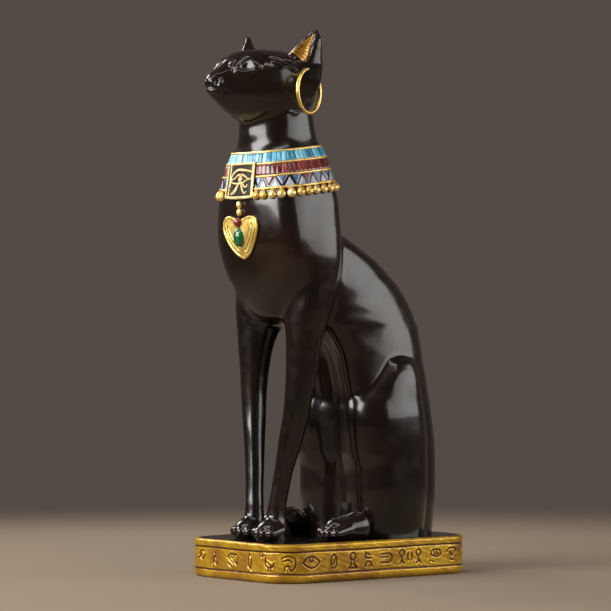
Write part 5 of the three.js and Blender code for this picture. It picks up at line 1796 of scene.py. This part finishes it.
# %% [markdown]
# The inside of each ear is gilt and ribbed like a shell. The gilt field is a slim triangle seen from the
# cat's left front, so it is laid out in that view and then dropped onto the ear's hollow, each place on
# the skin behind it. Rows of ribs narrow towards the tip.

# %% Gilt ears
EAR_RIBS = 9
GILT_STAND = 0.10
GILT_SINK = 0.5
RIB_RISE = 0.34
RIM_SHARE = 0.06
EAR_FRONT = 60.0
EAR_LEFT_EDGE = [(-17.7, 242.9), (-15.2, 245.2), (-12.0, 248.0), (-7.4, 251.6)]
EAR_RIGHT_EDGE = [(-10.9, 238.2), (-9.9, 241.5), (-8.8, 246.0), (-6.9, 251.4)]


def drop_on_skin(across, height):
    """Where places in the view plane land on the carved cat when they are moved straight in."""
    start = across[:, None] * view_right + EAR_FRONT * view_back + height[:, None] * view_up
    toward = np.broadcast_to(-view_back, start.shape)
    return move_in(carved_cat, start, toward, rounds=90, back_step=1.0, far_step=2.0)


def gilt_ear(side, name):
    """The gilt sheet of one ear: ribs across it, flat at its edges, and a back sunk into the ear."""
    rows, columns = (EAR_RIBS * 9, 26) if FINE else (EAR_RIBS * 5, 12)
    edges = (EAR_LEFT_EDGE, EAR_RIGHT_EDGE)
    left, right = (smooth_path([(u, 0, z) for u, z in edge], rows)[:, None, [0, 2]] for edge in edges)
    share = np.linspace(0, 1, columns)[None, :, None]
    flat = left * (1 - share) + right * share
    points = drop_on_skin(flat[..., 0].ravel(), flat[..., 1].ravel())
    outward = unit(slope_of(carved_cat, points))
    v = (np.arange(rows) / (rows - 1) * EAR_RIBS) % 1
    rib = np.sqrt(np.clip(1 - (2 * v - 1) ** 2, 0, 1))[:, None]
    edge = np.minimum(share[..., 0], 1 - share[..., 0])
    rim = np.clip(edge / RIM_SHARE, 0, 1)
    rise = (GILT_STAND + RIB_RISE * rib * rim).ravel()
    recess = (1 - rib * rim).ravel() ** 1.5
    both = np.vstack([points + outward * rise[:, None], points - outward * GILT_SINK])
    both[:, 0] *= side
    faces = facing_out(both, sheet_shell(rows, columns))
    add_piece(name, both, faces, EAR_GILT, values={"recess": np.concatenate([recess, recess])})


EAR_GILT = brushed_finish(
    "ear_gilt", (0.46, 0.24, 0.025, 1), (0.32, 0.14, 0.01, 1), (0.06, 0.02, 0.003, 1), 0.4, 300.0
)
gilt_ear(1, "gilt_ear_left")
gilt_ear(-1, "gilt_ear_right")

# %% [markdown]
# The plinth is a rounded slab with a plain rim at foot and top and a band of small signs between two cut
# lines. Its side is a grid that runs once round the outline, fine enough that every cut is real geometry.
# The signs are groups of short strokes. Along the front and the cat's left they follow the figure's own
# band in simpler lines, and the rest of the row repeats them in another order.

# %% The plinth's outline
FOOT_ROUND = 2.2
TOP_EASE = 1.3
CORNER_STEPS = 40
OUTLINE_STEPS = 1010 if FINE else 420


def plinth_outline(count):
    """Points round the outline and the directions out of it, from the front's middle to the cat's left."""
    r = PLINTH_CORNER
    wide, long = PLINTH_HALF_WIDTH - r, PLINTH_HALF_LENGTH - r
    corners = [(wide, -long, -90), (wide, long, 0), (-wide, long, 90), (-wide, -long, 180)]
    places = [(0.0, -PLINTH_HALF_LENGTH, 0.0, -1.0)]
    for cx, cy, start in corners:
        for degrees in np.linspace(start, start + 90, CORNER_STEPS):
            c, s = math.cos(math.radians(degrees)), math.sin(math.radians(degrees))
            places.append((cx + r * c, cy + r * s, c, s))
    places.append(places[0])
    places = np.array(places)
    run = np.concatenate([[0], np.cumsum(np.linalg.norm(np.diff(places[:, :2], axis=0), axis=1))])
    at = np.linspace(0, run[-1], count, endpoint=False)
    columns = [np.interp(at, run, places[:, k]) for k in range(4)]
    return at, run[-1], np.stack(columns[:2], 1), unit(np.stack(columns[2:], 1))


outline_run, outline_whole, outline_points, outline_out = plinth_outline(OUTLINE_STEPS)
print("once round the plinth:", round(outline_whole, 1), "mm")

# %% [markdown]
# A sign is a few strokes, each a short list of places to the right of the sign's middle and above it. The
# row says which sign stands where, in millimetres round the plinth from the middle of its front.

# %% Signs of the band
SIGNS = {
    "kite": [[(-2.2, 1.4), (0, 3.2), (2.4, 1.8), (0.5, -0.7), (-2.2, 1.4)], [(-3, -0.6), (0.2, 1.9)]],
    "peak": [[(-1.8, -2.6), (0, 1.0), (1.6, -2.4)], [(-0.6, -1.4), (0.9, -2.9)], [(-0.3, 2.4), (0.3, 2.6)]],
    "sail": [[(-4, 1), (-1.5, 2.7), (3.4, 2.2), (2.9, -2.1), (-1, 1.2)], [(-3.6, -1.8), (-1.4, -3)],
             [(-2.5, 0.2), (0.5, -1.6)]],
    "leaf": [[(0, 3.6), (1.3, 1.2), (0.9, -1.6), (-0.3, -3), (-1.2, -0.8), (-0.9, 1.6), (0, 3.6)],
             [(0.2, -2.8), (1.7, -4.2)]],
    "crook": [[(-3.5, 2.5), (-2.4, 3.6), (-1.3, 2.6), (-1.4, 0.4), (-0.2, -2.0), (2.2, -2.2), (3.8, -0.2)],
              [(-0.8, 0.7), (1.1, -0.5), (2.4, -1.9)], [(0.3, -2.3), (0.4, -4.0)],
              [(1.6, -2.3), (1.9, -4.0)]],
    "wave": [[(-3.4, 2.2), (-1, 3.2), (2, 2.6), (3, 0.4), (2.5, -2.4), (0.6, -3.6)],
             [(-3, 0.8), (-0.4, 1.6), (1.1, 0.2)], [(-2.3, -3.4), (-1.9, -1.5), (-0.1, -1.2), (0.2, -3)]],
    "almond": [[(-4.7, 0), (-2.4, 2.2), (0.2, 2.8), (2.8, 1.9), (4.9, 0.2)],
               [(-4.7, 0), (-2.2, -1.7), (0, -2.4), (2.6, -1.7), (4.9, 0.2)],
               [(-1.1, 2.3), (-0.8, 0.8), (0, 0.4), (0.8, 0.8), (1.1, 2.3)]],
    "seed": [[(0, 3.2), (1.5, 1.8), (1.5, -1.6), (0, -3.2), (-1.5, -1.6), (-1.5, 1.8), (0, 3.2)],
             [(0.6, 0.9), (0.2, -0.8), (-0.6, -1.5)]],
    "lamp": [[(0, 3.4), (1.5, 2.6), (1.4, 0.9), (0, 0.2), (-1.4, 0.9), (-1.5, 2.6), (0, 3.4)],
             [(-0.6, 0.2), (-0.9, -1.6), (-2.2, -3.3)], [(0.6, 0.2), (0.9, -1.6), (2.2, -3.3)],
             [(-2.5, -3.5), (2.5, -3.5)]],
    "steps": [[(-1.8, 3.2), (-1.6, 0.8), (1.9, 0.6)], [(-1.1, 2.8), (1.1, 2.1)],
              [(-1.9, -3.3), (-1.4, -1.5), (0.2, -0.9), (1.6, -1.7), (1.9, -3.3)]],
    "bow": [[(-3.6, 1.9), (1.4, 2.1), (3.3, 0.2), (1.6, -1.9), (-3.6, -1.9)], [(-3.4, 0.6), (0.9, 0.8)]],
    "sprout": [[(0, 3.5), (1.4, 2.3), (0.9, 0.7), (0, 0.1), (-0.9, 0.7), (-1.4, 2.3), (0, 3.5)],
               [(0, 0), (0, -1.5), (-1.4, -3.1)], [(0, -1.5), (1.4, -3.1)]],
    "husk": [[(-0.9, 1.9), (-1.4, 0.2), (-0.9, -1.5)], [(0.9, 1.9), (1.4, 0.2), (0.9, -1.5)]],
    "bean": [[(-2.7, 0.6), (-0.6, 2.7), (2.6, 2.7), (3.7, 0.8), (1.6, -0.6), (-0.6, -0.2), (-2.7, 0.6)],
             [(-0.5, 1.9), (0.4, 0.2)], [(1.0, 2.1), (1.9, 0.4)], [(-3.1, -2.2), (-2.5, -2.5)],
             [(-1.4, -2.7), (-0.8, -2.9)]],
    "cap": [[(-3.3, 1.3), (-1.6, 3.0), (1.6, 3.0), (3.3, 1.3)], [(-1.6, 1.4), (0, -0.5), (1.6, 1.4)],
            [(-0.9, -2.2), (0.9, -2.5)]],
}
SIGN_ROW = [
    ("kite", -22.3), ("peak", -11.9), ("sail", 1.5), ("leaf", 14.1), ("crook", 26.7), ("wave", 37.8),
    ("almond", 49.0), ("seed", 62.1), ("lamp", 73.4), ("steps", 82.7), ("bow", 93.8), ("sprout", 103.0),
    ("husk", 107.9), ("sprout", 113.1), ("bean", 123.1), ("cap", 133.8), ("leaf", 144.0), ("almond", 156.0),
    ("crook", 168.5), ("seed", 179.0), ("sail", 190.5), ("steps", 201.5), ("bow", 212.5), ("peak", 222.0),
    ("wave", 232.5), ("lamp", 243.5), ("almond", 256.0), ("kite", 268.5), ("husk", 276.5), ("bean", 287.0),
    ("seed", 297.5), ("crook", 309.0), ("cap", 320.5), ("leaf", 330.5),
]
BAND_MIDDLE = 9.3
SIGN_HALF = 0.30
print("signs round the plinth:", len(SIGN_ROW))

# %% [markdown]
# The grid points of the side keep their heights, but for a slight dip of the upper edge. What changes is
# their depth: sunk at the cuts, a little raised just beside the signs where the clay was pushed up, and a
# slow unevenness of the hand over all.

# %% The plinth's side and top
RIM_LOW_LINE = 4.2
RIM_HIGH_LINE = 14.3
LINE_HALF = 0.36
LINE_CUT = 0.55
LINE_SLOPE = 0.45
LINE_UNEVEN = 0.16
LINE_WAVES = (5, 11, 19, 37)
SIGN_CUT = 0.45
SIGN_SLOPE = 0.42
SIGN_REACH = 6.5
SIGN_POINTS = 18
PUSHED_UP, PUSHED_PLACE, PUSHED_WIDTH = 0.16, 0.55, 0.28
NO_CUT = 9.0
BAND_SET_BACK = 0.30
BAND_EASE = 0.6
SLOW_HAND, SLOW_WAVES = 0.13, (4, 9, 17, 31)
QUICK_HAND, QUICK_WAVES = 0.05, (43, 61, 89)
TOP_DIP, DIP_WAVES, DIP_FROM, DIP_WIDTH = 0.16, (6, 13, 27, 53), 16.4, 1.6


def side_levels():
    """Heights of the grid rows, closer together at the rounded edges."""
    foot = FOOT_ROUND * (1 - np.cos(np.linspace(0, math.pi / 2, 8)))
    top = PLINTH_HEIGHT - TOP_EASE * (1 - np.sin(np.linspace(0, math.pi / 2, 7)))
    middle_rows = 42 if FINE else 24
    middle = np.linspace(FOOT_ROUND, PLINTH_HEIGHT - TOP_EASE, middle_rows)[1:-1]
    return np.concatenate([foot, middle, top])


def turn_of(run):
    """The angle of a full turn that a way round the plinth stands for."""
    return run / outline_whole * 2 * math.pi


def flat_gap(u, w, points):
    """Distance from places beside and above a sign's middle to one of its strokes."""
    path = smooth_path([(a, 0, b) for a, b in points], SIGN_POINTS)
    return gap_to_path(path, u, 0 * u, w)[0]


def side_cuts(run, level):
    """Depth of every cut below the plain side, and how dark its wash is."""
    line_gap = np.full(run.shape, NO_CUT)
    for line, seed in ((RIM_LOW_LINE, 51), (RIM_HIGH_LINE, 52)):
        uneven = LINE_UNEVEN * wobble(turn_of(run), seed, LINE_WAVES)
        line_gap = np.minimum(line_gap, np.abs(level - line - uneven) - LINE_HALF)
    sign_gap = np.full(run.shape, NO_CUT)
    for name, place in SIGN_ROW:
        u = (run - place + outline_whole / 2) % outline_whole - outline_whole / 2
        near = np.abs(u) < SIGN_REACH
        for points in SIGNS[name]:
            found = flat_gap(u[near], level[near] - BAND_MIDDLE, points) - SIGN_HALF
            sign_gap[near] = np.minimum(sign_gap[near], found)
    line_share = np.clip(0.5 - line_gap / LINE_SLOPE, 0, 1)
    sign_share = np.clip(0.5 - sign_gap / SIGN_SLOPE, 0, 1)
    raised = PUSHED_UP * np.exp(-((sign_gap - PUSHED_PLACE) / PUSHED_WIDTH) ** 2)
    depth = LINE_CUT * line_share**1.3 + SIGN_CUT * sign_share**1.2 - raised * (1 - sign_share)
    return depth, np.maximum(line_share, sign_share)


def rounded_edge(radius, past):
    """How far a rounded edge falls back, from how far a place lies past its start."""
    return radius - np.sqrt(np.clip(radius**2 - np.clip(past, 0, None) ** 2, 0, None))


def plinth_side():
    """Grid points of the side from the foot upward, and their recess values."""
    run, level = np.meshgrid(outline_run, side_levels())
    t = turn_of(run)
    foot = rounded_edge(FOOT_ROUND, FOOT_ROUND - level)
    top = rounded_edge(TOP_EASE, level - PLINTH_HEIGHT + TOP_EASE)
    above = np.clip((level - RIM_LOW_LINE) / BAND_EASE, 0, 1)
    below = np.clip((RIM_HIGH_LINE - level) / BAND_EASE, 0, 1)
    cuts, recess = side_cuts(run, level)
    slow = SLOW_HAND * (1 + wobble(t, 53, SLOW_WAVES))
    quick = QUICK_HAND * (1 + wobble(t + level * 0.05, 54, QUICK_WAVES))
    inset = np.clip(foot + top + BAND_SET_BACK * (above * below) + cuts + (slow + quick), 0, None)
    flat = outline_points[None] - outline_out[None] * inset[..., None]
    dip = TOP_DIP * (1 + wobble(t, 55, DIP_WAVES)) * np.clip((level - DIP_FROM) / DIP_WIDTH, 0, 1)
    return np.concatenate([flat, (level - dip)[..., None]], -1), recess


side_grid, side_recess = plinth_side()
print("side grid:", side_grid.shape[:2])

# %% [markdown]
# On the side the gold is brushed thinly over red and brown, and near the upper edge it ends under the
# black in a ragged line. So the mesh carries one more number, the way inward from that edge, and noise
# added to it makes the border ragged.

# %% Plinth finish
OLIVE_GOLD = (0.56, 0.335, 0.015, 1)
BROWN_GOLD = (0.32, 0.15, 0.008, 1)
RED_WASH = (0.055, 0.008, 0.003, 1)
RAGGED_WIDTH = 2.6
BLACK_FROM, BLACK_TO = 2.0, 2.25
BLACK_ROUGHNESS = 0.17
GOLD_METALLIC = 0.55


def make_plinth_finish():
    """Gold brushed over the side, with black lacquer on top that ends in a ragged line near the edge."""
    material, tree, shader = principled("plinth_gold")
    place = tree.nodes.new("ShaderNodeTexCoord").outputs["Object"]
    paint = group_node(
        tree, BRUSHED, Light=OLIVE_GOLD, Deep=BROWN_GOLD, Wash=RED_WASH,
        Recess=attribute_node(tree, "recess"), Patch_Scale=70.0, Speck_Scale=700.0,
    )
    ragged = noise_node(tree, place, 260.0, detail=4.0, roughness=0.65)
    border = math_node(tree, "MULTIPLY", ragged.outputs["Fac"], RAGGED_WIDTH)
    inward = math_node(tree, "ADD", attribute_node(tree, "inward"), border)
    black = range_node(tree, inward, BLACK_FROM, BLACK_TO)
    tree.links.new(mix_node(tree, black, paint.outputs["Colour"], BLACK), shader.inputs["Base Color"])
    keep = math_node(tree, "SUBTRACT", 1.0, black)
    gold_part = math_node(tree, "MULTIPLY", paint.outputs["Roughness"], keep)
    black_part = math_node(tree, "MULTIPLY", black, BLACK_ROUGHNESS)
    tree.links.new(math_node(tree, "ADD", gold_part, black_part), shader.inputs["Roughness"])
    tree.links.new(math_node(tree, "MULTIPLY", keep, GOLD_METALLIC), shader.inputs["Metallic"])
    tree.links.new(paint.outputs["Normal"], shader.inputs["Normal"])
    shader.inputs["Coat Weight"].default_value = PAINT_COAT
    shader.inputs["Coat Roughness"].default_value = PAINT_COAT_ROUGHNESS
    return material


PLINTH_FINISH = make_plinth_finish()
print("made", PLINTH_FINISH.name)

# %% [markdown]
# The top goes on from the side's last ring in smaller and smaller rings that soon settle to one level,
# and one point in the middle closes it. Another point closes the underside.

# %% The plinth
TOP_RINGS = (0.985, 0.965, 0.93, 0.88, 0.8, 0.65, 0.45, 0.2)
SETTLE = 0.05
EDGE_BAND = 0.9
EDGE_SHARE = 0.6
DEEP_INSIDE = 5.0


def plinth_piece():
    """Side, top and underside as one closed body."""
    rows = len(side_grid)
    shares = np.array(TOP_RINGS)
    rim = side_grid[-1]
    rings = rim[None] * np.stack([shares, shares, 0 * shares + 1], 1)[:, None]
    settle = np.clip((1 - shares) / SETTLE, 0, 1)[:, None]
    rings[..., 2] = rings[..., 2] * (1 - settle) + PLINTH_HEIGHT * settle
    grid = np.concatenate([side_grid, rings], 0)
    from_rim = np.linalg.norm(rim[None, :, :2] - rings[..., :2], axis=-1)
    under_edge = np.clip((side_grid[..., 2] - PLINTH_HEIGHT + EDGE_BAND) / EDGE_BAND, -1, 1)
    inward = np.concatenate([under_edge * EDGE_SHARE - EDGE_SHARE, from_rim])
    inward[0] = DEEP_INSIDE
    recess = np.concatenate([side_recess, np.zeros(rings.shape[:2])])
    middles = [[0, 0, 0], [0, 0, PLINTH_HEIGHT]]
    points, faces = with_closed_ends(grid.reshape(-1, 3), len(grid), OUTLINE_STEPS, middles)
    values = {
        "recess": np.concatenate([recess.ravel(), [0, 0]]),
        "inward": np.concatenate([inward.ravel(), [DEEP_INSIDE, DEEP_INSIDE]]),
    }
    add_piece("plinth", points, faces, PLINTH_FINISH, values=values)


plinth_piece()
